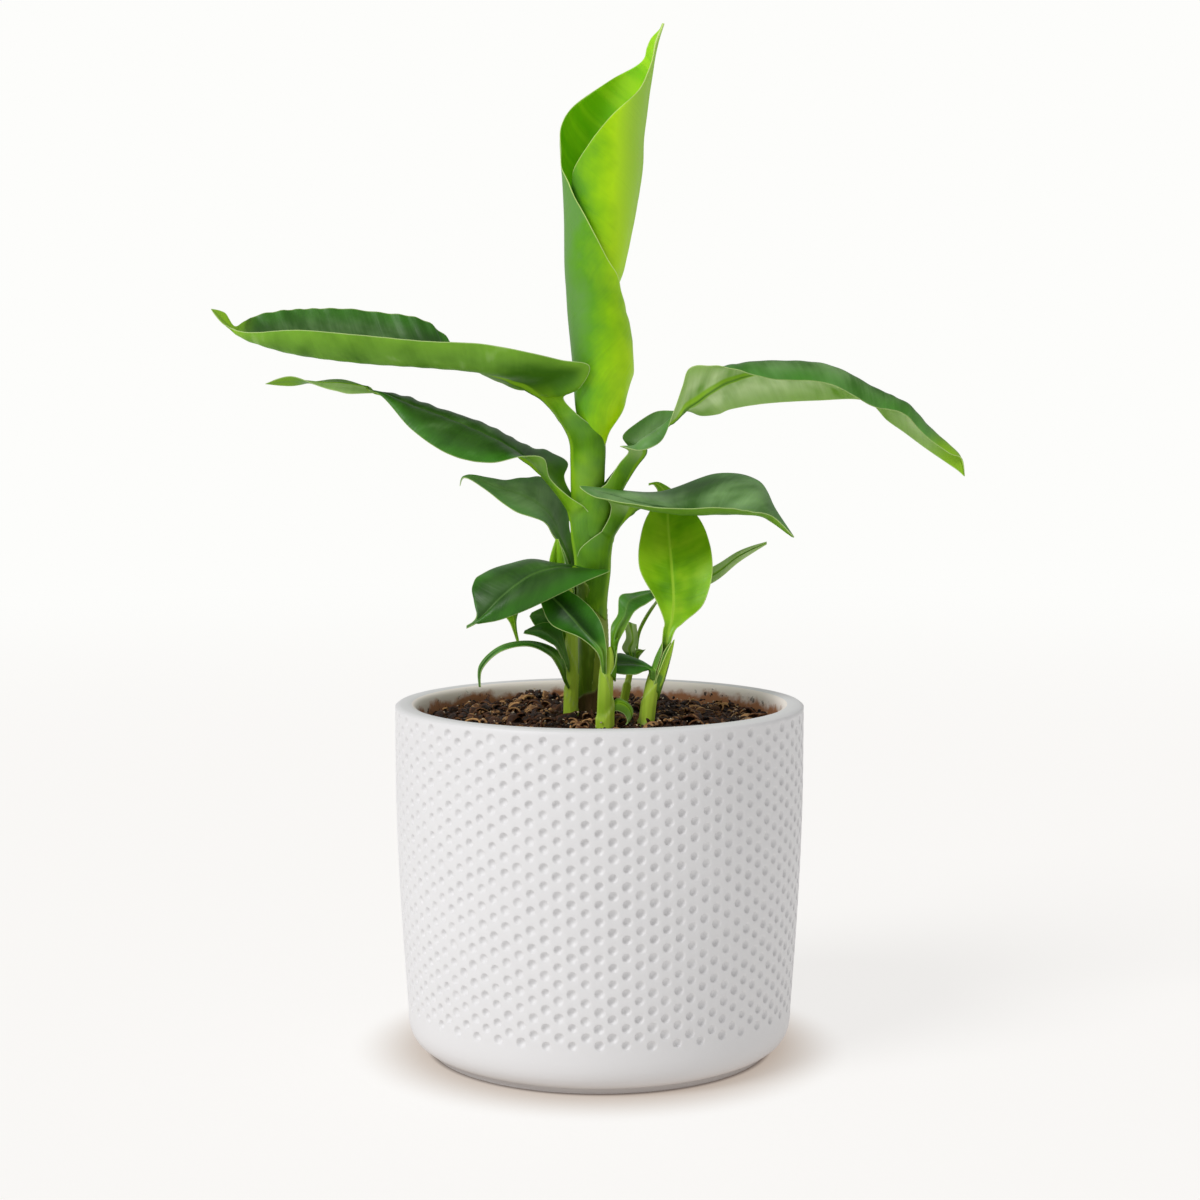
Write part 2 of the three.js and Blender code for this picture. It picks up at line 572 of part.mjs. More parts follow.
const FRONT_SHOOT_RIGHT_LEAF = [
  [[5, -23.5, 144], [5.7, -24.5, 144], [5.7, -26, 144], 0.4, 0.4],
  [[4.5, -20, 153], [5.5, -21.5, 153.5], [6.2, -24, 153], 0.5, 0.5],
  [[6, -17, 161.5], [8.5, -20, 161.5], [11.5, -18.5, 162], 0.5, 0.4],
  [[7.5, -12.5, 168], [10.5, -15.5, 166], [14, -16, 164], 0.3, 0.4],
  [[18, -3.5, 169.9], [18.6, -5.5, 169], [19.8, -7.5, 167.2], 0.2, 0.2],
  [[22.5, 0.6, 169.3], [22.5, 0, 169.3], [22.5, -0.6, 169.3], 0, 0],
];
const FRONT_SHOOT_CURLED_LEAF = [
  [[4.6, -24, 130], [5, -25, 130.5], [5, -26, 131], 0.2, 0.2],
  [[5.8, -21.5, 131], [6.5, -22, 132.5], [6.8, -23.5, 133.5], 0.3, 0.3],
  [[8.5, -17.5, 129.5], [10, -17.5, 130.2], [11.5, -19, 130], 0.3, 0.3],
  [[9, -15.6, 126], [9.6, -15.8, 126], [10.2, -16.2, 126], 0, 0],
];
const RIGHT_SHOOT_BROAD_LEAF = [
  [[21.6, -15, 150.5], [23.4, -12.6, 150.5], [24.8, -13.8, 150.5], 0.4, 0.4],
  [[23, -14.6, 156], [25, -12.2, 156], [27.2, -13.4, 156], 0.4, 0.4],
  [[23.4, -13.6, 159.5], [26.2, -11.4, 160], [30.5, -13.2, 159], 0.4, 0.4],
  [[20.6, -9.2, 166.6], [27, -7, 167.3], [38, -8.6, 165.8], 0.8, 1],
  [[14.5, -2, 178.5], [26.5, 1, 178.5], [41.5, -0.5, 179], 1, 1],
  [[16, 7.5, 192.5], [25.5, 10, 192.5], [38.5, 9, 193], 0.8, 0.8],
  [[21.5, 16, 203.5], [25, 17.5, 203.5], [30, 17, 203.5], 0.3, 0.3],
  [[20.5, 19, 207.5], [21.5, 19.3, 208], [23, 19.3, 208.5], 0, 0],
  [[18.4, 19.3, 207.4], [18.4, 19.5, 207.8], [18.4, 19.7, 208.3], 0, 0],
];
const RIGHT_SHOOT_LOW_LEAF = [
  [[17, -18.8, 140.3], [18.4, -19.8, 140], [20, -19.2, 140.5], 0.3, 0.3],
  [[15.6, -20.6, 140.6], [16.6, -18.6, 142.2], [18, -15.4, 142.2], -0.4, -0.4],
  [[11.5, -22, 140.5], [11.2, -17, 143.5], [12.2, -11, 144.8], -1, -1],
  [[6, -22, 141.5], [5.5, -17.5, 144.5], [7, -11, 147.5], -0.8, -0.8],
  [[2, -19.6, 143.2], [1.8, -18.8, 143.5], [2, -17.8, 144], 0, 0],
];
const RIGHT_SHOOT_BRACT = [
  [[21.8, -18.4, 138], [22.9, -16, 138], [22.3, -13.5, 138], 0.4, 0.4],
  [[24.4, -17.3, 147], [25.7, -15.3, 147], [25, -12.6, 147], 0.3, 0.3],
  [[26.8, -16, 153], [27.1, -15.6, 153], [27.1, -15.1, 153], 0, 0],
];
const SMALL_SHOOT_LONG_LEAF = [
  [[13.8, 23.8, 141], [14.2, 24, 141], [14.5, 24, 141], 0, 0],
  [[14.5, 24, 152], [15.2, 24.3, 152], [15.8, 24.6, 152], 0, 0],
  [[21, 17.5, 163.5], [21.8, 18, 164], [22.5, 18.5, 164.5], 0, 0],
  [[27.5, 14, 166], [27.5, 15, 168], [27, 16, 170], 0.3, 0.3],
  [[42, 10.5, 171.5], [42.5, 11.5, 174], [42.5, 13, 177.5], 0.4, 0.4],
  [[52, 9.5, 179.5], [52, 10, 181.5], [52, 10.5, 183.5], 0.2, 0.2],
  [[62, 8.8, 186], [62, 9, 186.5], [62, 9.2, 187], 0, 0],
];
const SMALL_SHOOT_CRUMPLED_LEAF = [
  [[11, 22.5, 142.5], [12, 21.5, 143], [13.5, 22.5, 143], 0.2, 0.2],
  [[8.5, 21, 146], [11.5, 20.5, 146], [13.5, 22, 145.5], 0.3, 0.3],
  [[10, 19, 150.5], [12.5, 20.5, 149.5], [14.5, 22, 148.5], -0.5, 0.5],
  [[9, 18, 156], [11.5, 19.5, 156], [14, 21.5, 155], 0.3, 0.3],
];
const SMALL_SHOOT_RIGHT_LEAF = [
  [[13.5, 21, 141.5], [14, 20.5, 142], [14.5, 20.5, 141.5], 0, 0],
  [[13.5, 19.5, 145.5], [14.5, 19.5, 144.5], [15.2, 20, 143], 0.2, 0.2],
  [[17, 19.2, 145.3], [17.2, 19.7, 145.5], [17.4, 20.2, 145.7], 0, 0],
];

function rolledLeafSolid() {
  const rows = smoothRows(ROLLED_LEAF, 2);
  const grid = rows.map(([z, x, y, radius, from, to]) => {
    const points = [];
    for (let c = 0; c <= SCROLL_COLUMNS; c += 1) {
      const turn = THREE.MathUtils.lerp(to, from, c / SCROLL_COLUMNS);
      const angle = THREE.MathUtils.degToRad(turn);
      const reach = radius + (SCROLL_PITCH * (turn - 90)) / 360;
      points.push(new THREE.Vector3(x + reach * Math.sin(angle), y - reach * Math.cos(angle), z));
    }
    return points;
  });
  return sheetSolid(grid, () => [MARGIN_THICKNESS / 2, MARGIN_THICKNESS / 2]);
}

// Assembly

const stems = [
  { name: 'main_stem', path: MAIN_STEM, look: OLD_STEM },
  { name: 'left_shoot_stem', path: LEFT_STEM, look: STEM },
  { name: 'front_shoot_stem', path: FRONT_STEM, look: STEM },
  { name: 'right_shoot_stem', path: RIGHT_STEM, look: STEM },
  { name: 'small_shoot_stem', path: SMALL_STEM, look: STEM },
];

const BIG = { steps: 2, columns: 3, wave: 0.8, waves: 5 };
const SMALL = { steps: 2, columns: 2, ribAtStem: 1.5 };
const leaf = (name, stations, seat, form, look = LEAF) => ({ name, stations, seat, form, look });
const leaves = [
  leaf('upper_left_leaf', UPPER_LEFT_LEAF, MAIN_STEM, BIG),
  leaf('middle_left_leaf', MIDDLE_LEFT_LEAF, MAIN_STEM, BIG),
  leaf('low_left_leaf', LOW_LEFT_LEAF, MAIN_STEM, BIG),
  leaf('upper_right_leaf', UPPER_RIGHT_LEAF, MAIN_STEM, BIG),
  leaf('middle_right_leaf', MIDDLE_RIGHT_LEAF, MAIN_STEM, BIG),
  leaf('left_shoot_big_leaf', LEFT_SHOOT_BIG_LEAF, LEFT_STEM, SMALL),
  leaf('left_shoot_young_leaf', LEFT_SHOOT_YOUNG_LEAF, LEFT_STEM, SMALL, YOUNG_LEAF),
  leaf('left_shoot_hanging_leaf', LEFT_SHOOT_HANGING_LEAF, LEFT_STEM, SMALL, YOUNG_LEAF),
  leaf('left_shoot_side_leaf', LEFT_SHOOT_SIDE_LEAF, LEFT_STEM, SMALL),
  leaf('left_shoot_back_leaf', LEFT_SHOOT_BACK_LEAF, LEFT_STEM, SMALL),
  leaf('left_shoot_arching_leaf', LEFT_SHOOT_ARCHING_LEAF, LEFT_STEM, SMALL),
  leaf('front_shoot_left_leaf', FRONT_SHOOT_LEFT_LEAF, FRONT_STEM, SMALL),
  leaf('front_shoot_right_leaf', FRONT_SHOOT_RIGHT_LEAF, FRONT_STEM, SMALL),
  leaf('front_shoot_curled_leaf', FRONT_SHOOT_CURLED_LEAF, FRONT_STEM, SMALL),
  leaf('right_shoot_broad_leaf', RIGHT_SHOOT_BROAD_LEAF, RIGHT_STEM, SMALL, YOUNG_LEAF),
  leaf('right_shoot_low_leaf', RIGHT_SHOOT_LOW_LEAF, RIGHT_STEM, SMALL),
  leaf('right_shoot_bract', RIGHT_SHOOT_BRACT, RIGHT_STEM, SMALL, YOUNG_LEAF),
  leaf('small_shoot_long_leaf', SMALL_SHOOT_LONG_LEAF, SMALL_STEM, SMALL),
  leaf('small_shoot_crumpled_leaf', SMALL_SHOOT_CRUMPLED_LEAF, SMALL_STEM, SMALL),
  leaf('small_shoot_right_leaf', SMALL_SHOOT_RIGHT_LEAF, SMALL_STEM, SMALL),
];

addPiece('pot', potGeometry(), CERAMIC);

let soil = soilBody();
for (const chip of barkChips()) {
  soil = soil.add(chip);
}
for (const { path } of stems) {
  soil = soil.subtract(stemSolid(path, GAP));
}
addPiece('soil', toGeometry(largestBody(soil)), SOIL);

for (const { name, path, look } of stems) {
  addPiece(name, toGeometry(stemSolid(path)), look);
}
addPiece('rolled_leaf', toGeometry(rolledLeafSolid()), YOUNG_LEAF);
for (const { name, stations, seat, form, look } of leaves) {
  const cut = leafSolid(stations, form).subtract(stemSolid(seat, GAP));
  addPiece(name, toGeometry(largestBody(cut)), look);
}

export default plant;
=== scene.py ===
"""Potted banana plant: a young banana with a rolled new leaf, five open leaves and four
side shoots, standing in a white ceramic pot with dimpled walls.

Shapes are worked out in millimetres in the plant's own frame, +Z up, +X to the right
and +Y to the back, with the origin under the middle of the pot's foot.
"""

import math
import random

import bmesh
import bpy
import numpy as np
from mathutils import Euler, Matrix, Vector, noise


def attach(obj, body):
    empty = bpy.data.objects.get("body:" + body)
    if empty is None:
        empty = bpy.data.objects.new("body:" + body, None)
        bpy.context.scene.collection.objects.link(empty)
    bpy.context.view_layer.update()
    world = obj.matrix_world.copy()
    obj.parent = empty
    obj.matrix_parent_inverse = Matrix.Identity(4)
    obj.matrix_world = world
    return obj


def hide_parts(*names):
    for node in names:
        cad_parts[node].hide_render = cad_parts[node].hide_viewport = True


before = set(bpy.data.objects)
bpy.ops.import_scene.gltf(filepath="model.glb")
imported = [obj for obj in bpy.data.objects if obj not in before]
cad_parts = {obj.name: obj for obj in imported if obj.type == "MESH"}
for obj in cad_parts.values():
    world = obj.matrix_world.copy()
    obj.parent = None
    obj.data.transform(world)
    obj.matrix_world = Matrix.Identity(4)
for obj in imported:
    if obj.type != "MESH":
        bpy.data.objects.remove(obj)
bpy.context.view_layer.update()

bl_info = {
    "name": "Potted Banana Plant",
    "version": (1, 0, 0),
    "blender": (4, 5, 0),
    "location": "3D View > Sidebar > Banana Plant",
    "description": "A young banana with side shoots in a dimpled white pot, on a pale stage",
    "category": "Add Mesh",
}

MM = 0.001
BACKDROP = "fdfdfb"


def linear(code):
    """Linear RGBA of an sRGB colour written as six hex digits."""
    shares = [int(code[i:i + 2], 16) / 255 for i in (0, 2, 4)]
    return tuple(c / 12.92 if c <= 0.04045 else ((c + 0.055) / 1.055) ** 2.4 for c in shares) + (1.0,)


def colour(name, description, code):
    return bpy.props.FloatVectorProperty(
        name=name, description=description, default=linear(code), size=4, subtype="COLOR", min=0, max=1
    )


def length(name, description, millimetres):
    return bpy.props.FloatProperty(
        name=name, description=description, default=millimetres * MM, unit="LENGTH", min=0
    )


class PotSettings(bpy.types.PropertyGroup):
    """Sizes and colours of the pot."""

    glaze: colour("Glaze", "Colour of the matt white glaze", "e1e0e1")
    stain: colour("Stain", "Colour of the soil washed on to the inner wall", "a86f48")
    pit_radius: length("Pit radius", "Radius of one dimple", 1.8)
    pit_depth: length("Pit depth", "Depth of one dimple", 1.25)
    pit_columns: bpy.props.IntProperty(
        name="Columns of pits", description="Upright columns of dimples round the pot", default=98, min=4
    )
    pit_rows: bpy.props.IntProperty(
        name="Rows of pits", description="Dimples in every other column", default=18, min=2
    )


class SoilSettings(bpy.types.PropertyGroup):
    """Colours and amounts of the potting soil."""

    peat: colour("Peat", "Colour of the fine soil", "1a0f08")
    bark: colour("Bark", "Colour of the lighter bark chips", "b88c5a")
    chips: bpy.props.IntProperty(
        name="Chips", description="Number of bark chips on the surface", default=170, min=0
    )
    shavings: bpy.props.IntProperty(
        name="Shavings", description="Number of curled bark shavings on the surface", default=460, min=0
    )
    crumbs: bpy.props.IntProperty(
        name="Crumbs", description="Number of round crumbs on the surface", default=1500, min=0
    )
    fibres: bpy.props.IntProperty(
        name="Fibres", description="Number of loose root fibres", default=90, min=0
    )


class PlantSettings(bpy.types.PropertyGroup):
    """Sizes and colours of the stems and leaves."""

    deep: colour("Deep blade", "Upper face of the darkest leaves", "143a02")
    mature: colour("Mature blade", "Upper face of an open leaf", "3b6424")
    # The soft blade colour is a painted sheen, where light rakes across the waxy upper face
    soft: colour("Soft blade", "Upper face where the light rakes across it", "82a86c")
    underside: colour("Underside", "Pale under face of a blade", "cce2a6")
    stalk: colour("Stalk", "Leaf stalks and fresh sheaths", "5f9408")
    young: colour("Young blade", "Blades that have just opened", "76ae0a")
    dead: colour("Dead sheath", "Dry brown sheath at the foot of the old stem", "7d5638")
    blade: length("Blade thickness", "Thickness of a blade between its veins", 0.5)
    ripple: bpy.props.FloatProperty(
        name="Ripple", description="Share of their full wave that the margins have", default=1.0, min=0
    )


class StageSettings(bpy.types.PropertyGroup):
    """Light and camera of the pale stage."""

    floor: colour("Floor", "Colour of the light through the floor", "dddbd9")
    sky: bpy.props.FloatProperty(
        name="Sky", description="Strength of the even light from all round", default=0.5, min=0
    )
    key: bpy.props.FloatProperty(
        name="Key", description="Strength of the soft light from the upper left", default=1.75, min=0
    )
    distance: length("Camera distance", "How far the camera stands in front of the pot", 800)
    height: length("Camera height", "Height of the camera over the floor", 233.4)
    tilt: bpy.props.FloatProperty(
        name="Camera tilt", description="How far the camera looks down", default=0.084, subtype="ANGLE"
    )


# Curves, sheets and meshes


def smooth_rows(stations, steps):
    """Rows put in between a list of stations, on smooth curves through them."""
    known = np.asarray(stations, float)
    last = len(known) - 1
    rows = []
    for k in range(last):
        before, start, end, after = known[max(k - 1, 0)], known[k], known[k + 1], known[min(k + 2, last)]
        for t in np.arange(steps) / steps:
            curve = -before + 3 * start - 3 * end + after
            slope = 2 * before - 5 * start + 4 * end - after
            rows.append(start + 0.5 * t * (end - before + t * (slope + t * curve)))
    rows.append(known[last])
    return np.array(rows)


def smooth_step(values, low, high):
    """0 at or under low, rising smoothly to 1 at high."""
    share = np.clip((values - low) / (high - low), 0, 1)
    return share * share * (3 - 2 * share)


def unit(vectors):
    """The same directions with a length of 1."""
    return vectors / np.maximum(np.linalg.norm(vectors, axis=-1, keepdims=True), 1e-9)


def circle(radius, count):
    """Places (x, y) evenly round a circle about the middle of the pot."""
    turns = [2 * math.pi * k / count for k in range(count)]
    return [(radius * math.cos(turn), radius * math.sin(turn)) for turn in turns]


def round_axis(x, y, reach, turn, z):
    """Points at a reach from an upright axis, a turn in radians being 0 at the front."""
    return np.stack([x + reach * np.sin(turn), y - reach * np.cos(turn), z], -1)


def sheet_faces(rows, columns):
    """Faces of a closed sheet, and for each its side: 0 above, 1 below, 2 the border."""
    start = np.arange(rows - 1)[:, None] * columns + np.arange(columns - 1)
    a, b, d, e = (start + shift for shift in (0, 1, columns, columns + 1))
    lower = rows * columns
    above = np.stack([a, b, e, d], -1).reshape(-1, 4)
    below = np.stack([a, d, e, b], -1).reshape(-1, 4) + lower
    left = np.arange(rows - 1) * columns
    right = left + columns - 1
    foot = np.arange(columns - 1)
    tip = foot + (rows - 1) * columns
    border = np.concatenate([
        np.stack([left, left + columns, left + columns + lower, left + lower], -1),
        np.stack([right, right + lower, right + columns + lower, right + columns], -1),
        np.stack([foot, foot + lower, foot + 1 + lower, foot + 1], -1),
        np.stack([tip, tip + 1, tip + 1 + lower, tip + lower], -1),
    ])
    sides = np.repeat([0, 1, 2], [len(above), len(below), len(border)])
    return np.concatenate([above, below, border]), sides


def sheet_points(grid, above, below):
    """Points of both faces of a sheet round a grid of middle points."""
    along = np.gradient(grid, axis=0)
    across = np.gradient(grid, axis=1)
    under = unit(np.cross(along, across))
    upper = grid - under * above[..., None]
    lower = grid + under * below[..., None]
    return np.concatenate([upper.reshape(-1, 3), lower.reshape(-1, 3)])


def tube_faces(rings, sides):
    """Faces of a tube of rings, open at both ends."""
    low = np.arange(rings - 1)[:, None] * sides + np.arange(sides)
    turn = np.arange(rings - 1)[:, None] * sides + (np.arange(sides) + 1) % sides
    return np.stack([low, turn, turn + sides, low + sides], -1).reshape(-1, 4)


def make_object(name, points, faces, materials, kinds=None, attributes=None):
    """A smooth-shaded object from points in millimetres, its faces and their materials."""
    mesh = bpy.data.meshes.new(name)
    mesh.from_pydata((np.asarray(points) * MM).tolist(), [], [list(map(int, face)) for face in faces])
    for material in materials:
        mesh.materials.append(material)
    if kinds is not None:
        mesh.polygons.foreach_set("material_index", np.asarray(kinds, np.int32))
    mesh.polygons.foreach_set("use_smooth", np.ones(len(mesh.polygons), bool))
    for label, values in (attributes or {}).items():
        layer = mesh.attributes.new(label, "FLOAT_VECTOR", "POINT")
        layer.data.foreach_set("vector", np.asarray(values, np.float32).ravel())
    mesh.update()
    piece = bpy.data.objects.new(name, mesh)
    bpy.context.scene.collection.objects.link(piece)
    return piece


def stand_for(piece, node):
    """The piece takes the place of a node of the frame: it hangs from the root, and the node is hidden."""
    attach(piece, "root")
    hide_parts(node)
    return piece


# Materials: for each kind of node, its type, its settings with held sockets by number, the
# sockets that a call fills in order, and the output that it gives, None being all of them.
# "fading" is 1 where its first source is at or under its second, and 0 from its third on.

NODES = {
    "where": ("ShaderNodeTexCoord", {}, (), "Object"),
    "attribute": ("ShaderNodeAttribute", {}, (), "Vector"),
    "split": ("ShaderNodeSeparateXYZ", {}, (0,), None),
    "join": ("ShaderNodeCombineXYZ", {}, (0, 1, 2), 0),
    "stretch": ("ShaderNodeMapping", {}, ("Vector", "Scale"), 0),
    "distance": ("ShaderNodeVectorMath", {"operation": "DISTANCE"}, (0, 1), "Value"),
    "maths": ("ShaderNodeMath", {}, (0, 1), 0),
    "fading": ("ShaderNodeMapRange", {"interpolation_type": "SMOOTHSTEP", 3: 1.0, 4: 0.0}, (0, 1, 2), 0),
    "noise": ("ShaderNodeTexNoise", {}, ("Vector", "Scale", "Detail", "Roughness"), "Fac"),
    "mix": ("ShaderNodeMix", {"data_type": "RGBA"}, (0, 6, 7), 2),
    "ramp": ("ShaderNodeValToRGB", {}, (0,), 0),
    "bump": ("ShaderNodeBump", {}, ("Strength", "Distance", "Height"), 0),
    "background": ("ShaderNodeBackground", {}, ("Color", "Strength"), 0),
    "ray": ("ShaderNodeLightPath", {}, (), "Is Camera Ray"),
    "either": ("ShaderNodeMixShader", {}, (0, 1, 2), 0),
}

# Widths and lengths of the streaks along leaves and stems, in millimetres
STALK_FIBRE = (0.9, 30.0)
FINE_VEIN = (1.1, 16.0)
BROAD_BAND = (9.0, 10.0)
ROLL_VEIN = (1.3, 30.0)
ROLL_STREAK = (6.0, 45.0)
SHEATH_FIBRE = (1.111, 45.45)
SHEATH_STREAK = (3.333, 111.1)

# How far the veins fall back towards the stem for each millimetre off the rib
BLADE_SLANT = 0.45
ROLL_SLANT = 0.7

# Scales of the patches and grains: how many go into a metre, from sizes in millimetres
STALK_PATCHES = 1 / (13.33 * MM)
STALK_BLOOM = 1 / (20.83 * MM)
BLADE_PATCHES = 1 / (22.22 * MM)
ROLL_CLOUDS = 1 / (18.18 * MM)
SHEATH_CLOUDS = 1 / (14.29 * MM)
GLAZE_CLOUDS = 1 / (45.45 * MM)
GLAZE_SKIN = 1 / (1.667 * MM)
TIDE_EDGE = 1 / (11.11 * MM)
DIRT_SPECKS = 1 / (2.381 * MM)
PEAT_CRUMBS = 1 / (2.0 * MM)
BARK_GRAIN = 1 / (0.7143 * MM)

# How far red, green and blue light spread in a leaf and in a stem, as shares of a scale
LEAF_SPREAD = (0.5, 1.0, 0.1)
STEM_SPREAD = (0.8, 1.0, 0.2)

# The mean of the noise, and the middle of a ramp
MIDDLE = 0.5


class Field:
    """A value over a surface. Each sign adds the maths node that works it out."""

    def __init__(self, socket):
        self.socket = socket
        self.tree = socket.id_data

    def __add__(self, other):
        return add_node(self.tree, "maths", self, other, operation="ADD")

    def __sub__(self, other):
        return add_node(self.tree, "maths", self, other, operation="SUBTRACT")

    def __mul__(self, other):
        return add_node(self.tree, "maths", self, other, operation="MULTIPLY")

    def __truediv__(self, other):
        return add_node(self.tree, "maths", self, other, operation="DIVIDE")

    def __abs__(self):
        return add_node(self.tree, "maths", self, 0.0, operation="ABSOLUTE")


def feed(node, sources):
    """Fill a node's sockets, each with a value or a field."""
    for socket, source in sources.items():
        if isinstance(source, Field):
            node.id_data.links.new(source.socket, node.inputs[socket])
        else:
            node.inputs[socket].default_value = source


def add_node(tree, kind, *sources, stops=(), **settings):
    """A node of a kind with its settings, fed in order, and the field or fields it gives. A
    ramp has stops of a position and a colour, the first at 0 and the last at 1."""
    type_name, fixed, sockets, output = NODES[kind]
    node = tree.nodes.new(type_name)
    for key, value in {**fixed, **settings}.items():
        if isinstance(key, int):
            feed(node, {key: value})
        else:
            setattr(node, key, value)
    feed(node, dict(zip(sockets, sources)))
    if stops:
        elements = node.color_ramp.elements
        elements[0].color, elements[1].color = stops[0][1], stops[-1][1]
        for position, tone in stops[1:-1]:
            elements.new(position).color = tone
    return [Field(each) for each in node.outputs] if output is None else Field(node.outputs[output])


def marks(tree, label):
    """The three values that a mesh holds at each of its points under a label."""
    return add_node(tree, "split", add_node(tree, "attribute", attribute_name=label))


def streaked(across, along, size, phase=0.0, detail=2.0):
    """Noise drawn out into streaks of a width and a length in millimetres."""
    place = add_node(across.tree, "join", across / size[0], along / size[1], phase)
    return add_node(across.tree, "noise", place, 1.0, detail)


def surface(name):
    """A new material, its node tree and its main shader."""
    material = bpy.data.materials.new(name)
    material.use_nodes = True
    return material, material.node_tree, material.node_tree.nodes["Principled BSDF"]


def stalk_colour(tree, plant, off, along, phase):
    """Streaked green of a leaf stalk: fine fibres run along it, in broad light and deep
    patches, under a thin greyish bloom."""
    where = add_node(tree, "where")
    fibres = streaked(off, along, STALK_FIBRE, phase)
    patches = add_node(tree, "noise", where, STALK_PATCHES)
    bloom = add_node(tree, "fading", add_node(tree, "noise", where, STALK_BLOOM), 0.4, 0.56)
    level = fibres * 0.25 + patches * 1.9 - 0.57
    greens = ((0, linear("3b6a04")), (MIDDLE, plant.stalk), (1, linear("86b41a")))
    green = add_node(tree, "ramp", level, stops=greens)
    return add_node(tree, "mix", bloom * 0.45, green, linear("5c8c44"))


def blade_material(name, plant, tones, mottle, rib, rib_share, rib_width, painted_margin_glow, margin,
                   roughness, shine, glow):
    """Leaf blade, grown in parallel veins: fine streaks run out from the rib and sweep to
    the tip, the blade is mottled in broad bands between them, on an upper face partly a
    painted sheen, and painted light glows through it towards its margin, where a thread is
    pale, the rib has its own core, and the wax is satin."""
    material, tree, shader = surface(name)
    along, off, edge = marks(tree, "place")
    tone, stalk_share, phase = marks(tree, "look")
    reach = abs(off)
    sweep = along - reach * BLADE_SLANT
    veins = streaked(sweep, off, FINE_VEIN, phase, detail=1.0)
    bands = streaked(sweep, off, BROAD_BAND, phase)
    patches = add_node(tree, "noise", add_node(tree, "where"), BLADE_PATCHES)
    level = (
        tone + (veins - MIDDLE) * (0.2 * mottle) + (bands - MIDDLE) * (1.2 * mottle)
        + (patches - MIDDLE) * (1.1 * mottle)
    )
    body = add_node(tree, "ramp", level, stops=tuple(zip((0, MIDDLE, 1), tones)))
    # Painted light: a livelier green near the margin, as light glowing through the thin edge
    near_margin = add_node(tree, "fading", edge, 0.5, 8.0)
    body = add_node(tree, "mix", near_margin * bands, body, linear(painted_margin_glow))
    body = add_node(tree, "mix", stalk_share, body, stalk_colour(tree, plant, off, along, phase))
    body = add_node(tree, "mix", stalk_share * -1.0, body, linear("8cbc1c"))
    taper = add_node(tree, "maths", along * (-1 / 90) + 1.0, 0.0, operation="MAXIMUM")
    half_width = reach + edge
    half_rib = add_node(tree, "maths", taper * rib_width + 0.5, half_width * 0.28, operation="MINIMUM")
    from_core = reach / half_rib
    core = add_node(tree, "fading", from_core, 0.0, 0.35)
    cored = add_node(tree, "mix", core, linear(rib[0]), linear(rib[1]))
    body = add_node(tree, "mix", add_node(tree, "fading", from_core, 0.6, 1.1) * rib_share, body, cored)
    thread = add_node(tree, "fading", edge, 0.12, 0.36)
    body = add_node(tree, "mix", thread * 0.6, body, linear(margin))
    feed(shader, {
        "Base Color": body, "Roughness": bands * 0.25 + (roughness - 0.12), "Specular IOR Level": shine,
        "Subsurface Weight": glow, "Subsurface Radius": LEAF_SPREAD, "Subsurface Scale": 0.8 * MM,
        "Normal": add_node(tree, "bump", 1.0, 0.28 * MM, veins * 0.3 + bands),
    })
    return material


def upper_blade(plant):
    # High levels reach the soft colour, a painted sheen where light rakes across the wax
    return blade_material(
        "Waxy green banana leaf", plant, tones=(plant.deep, plant.mature, plant.soft), mottle=0.7,
        rib=("5d8a38", "6f9a48"), rib_share=0.35, rib_width=0.2, painted_margin_glow="3a8408", margin="b0c878",
        roughness=0.4, shine=0.28, glow=0.05,
    )


def under_blade(plant):
    return blade_material(
        "Matt pale leaf underside", plant, tones=(linear("3c6a0e"), linear("6e9e34"), plant.underside),
        mottle=0.7, rib=("86b81c", "4a7c08"), rib_share=0.9, rib_width=3.4, painted_margin_glow="7cae30", margin="c8da98",
        roughness=0.55, shine=0.12, glow=0.08,
    )


def young_blade(plant):
    return blade_material(
        "Fresh yellow-green leaf", plant, tones=(linear("3f7c04"), plant.young, linear("a6cf24")),
        mottle=1.0, rib=("a2cc34", "b4d444"), rib_share=0.6, rib_width=0.2, painted_margin_glow="8cc414", margin="cfe08a",
        roughness=0.36, shine=0.3, glow=0.12,
    )


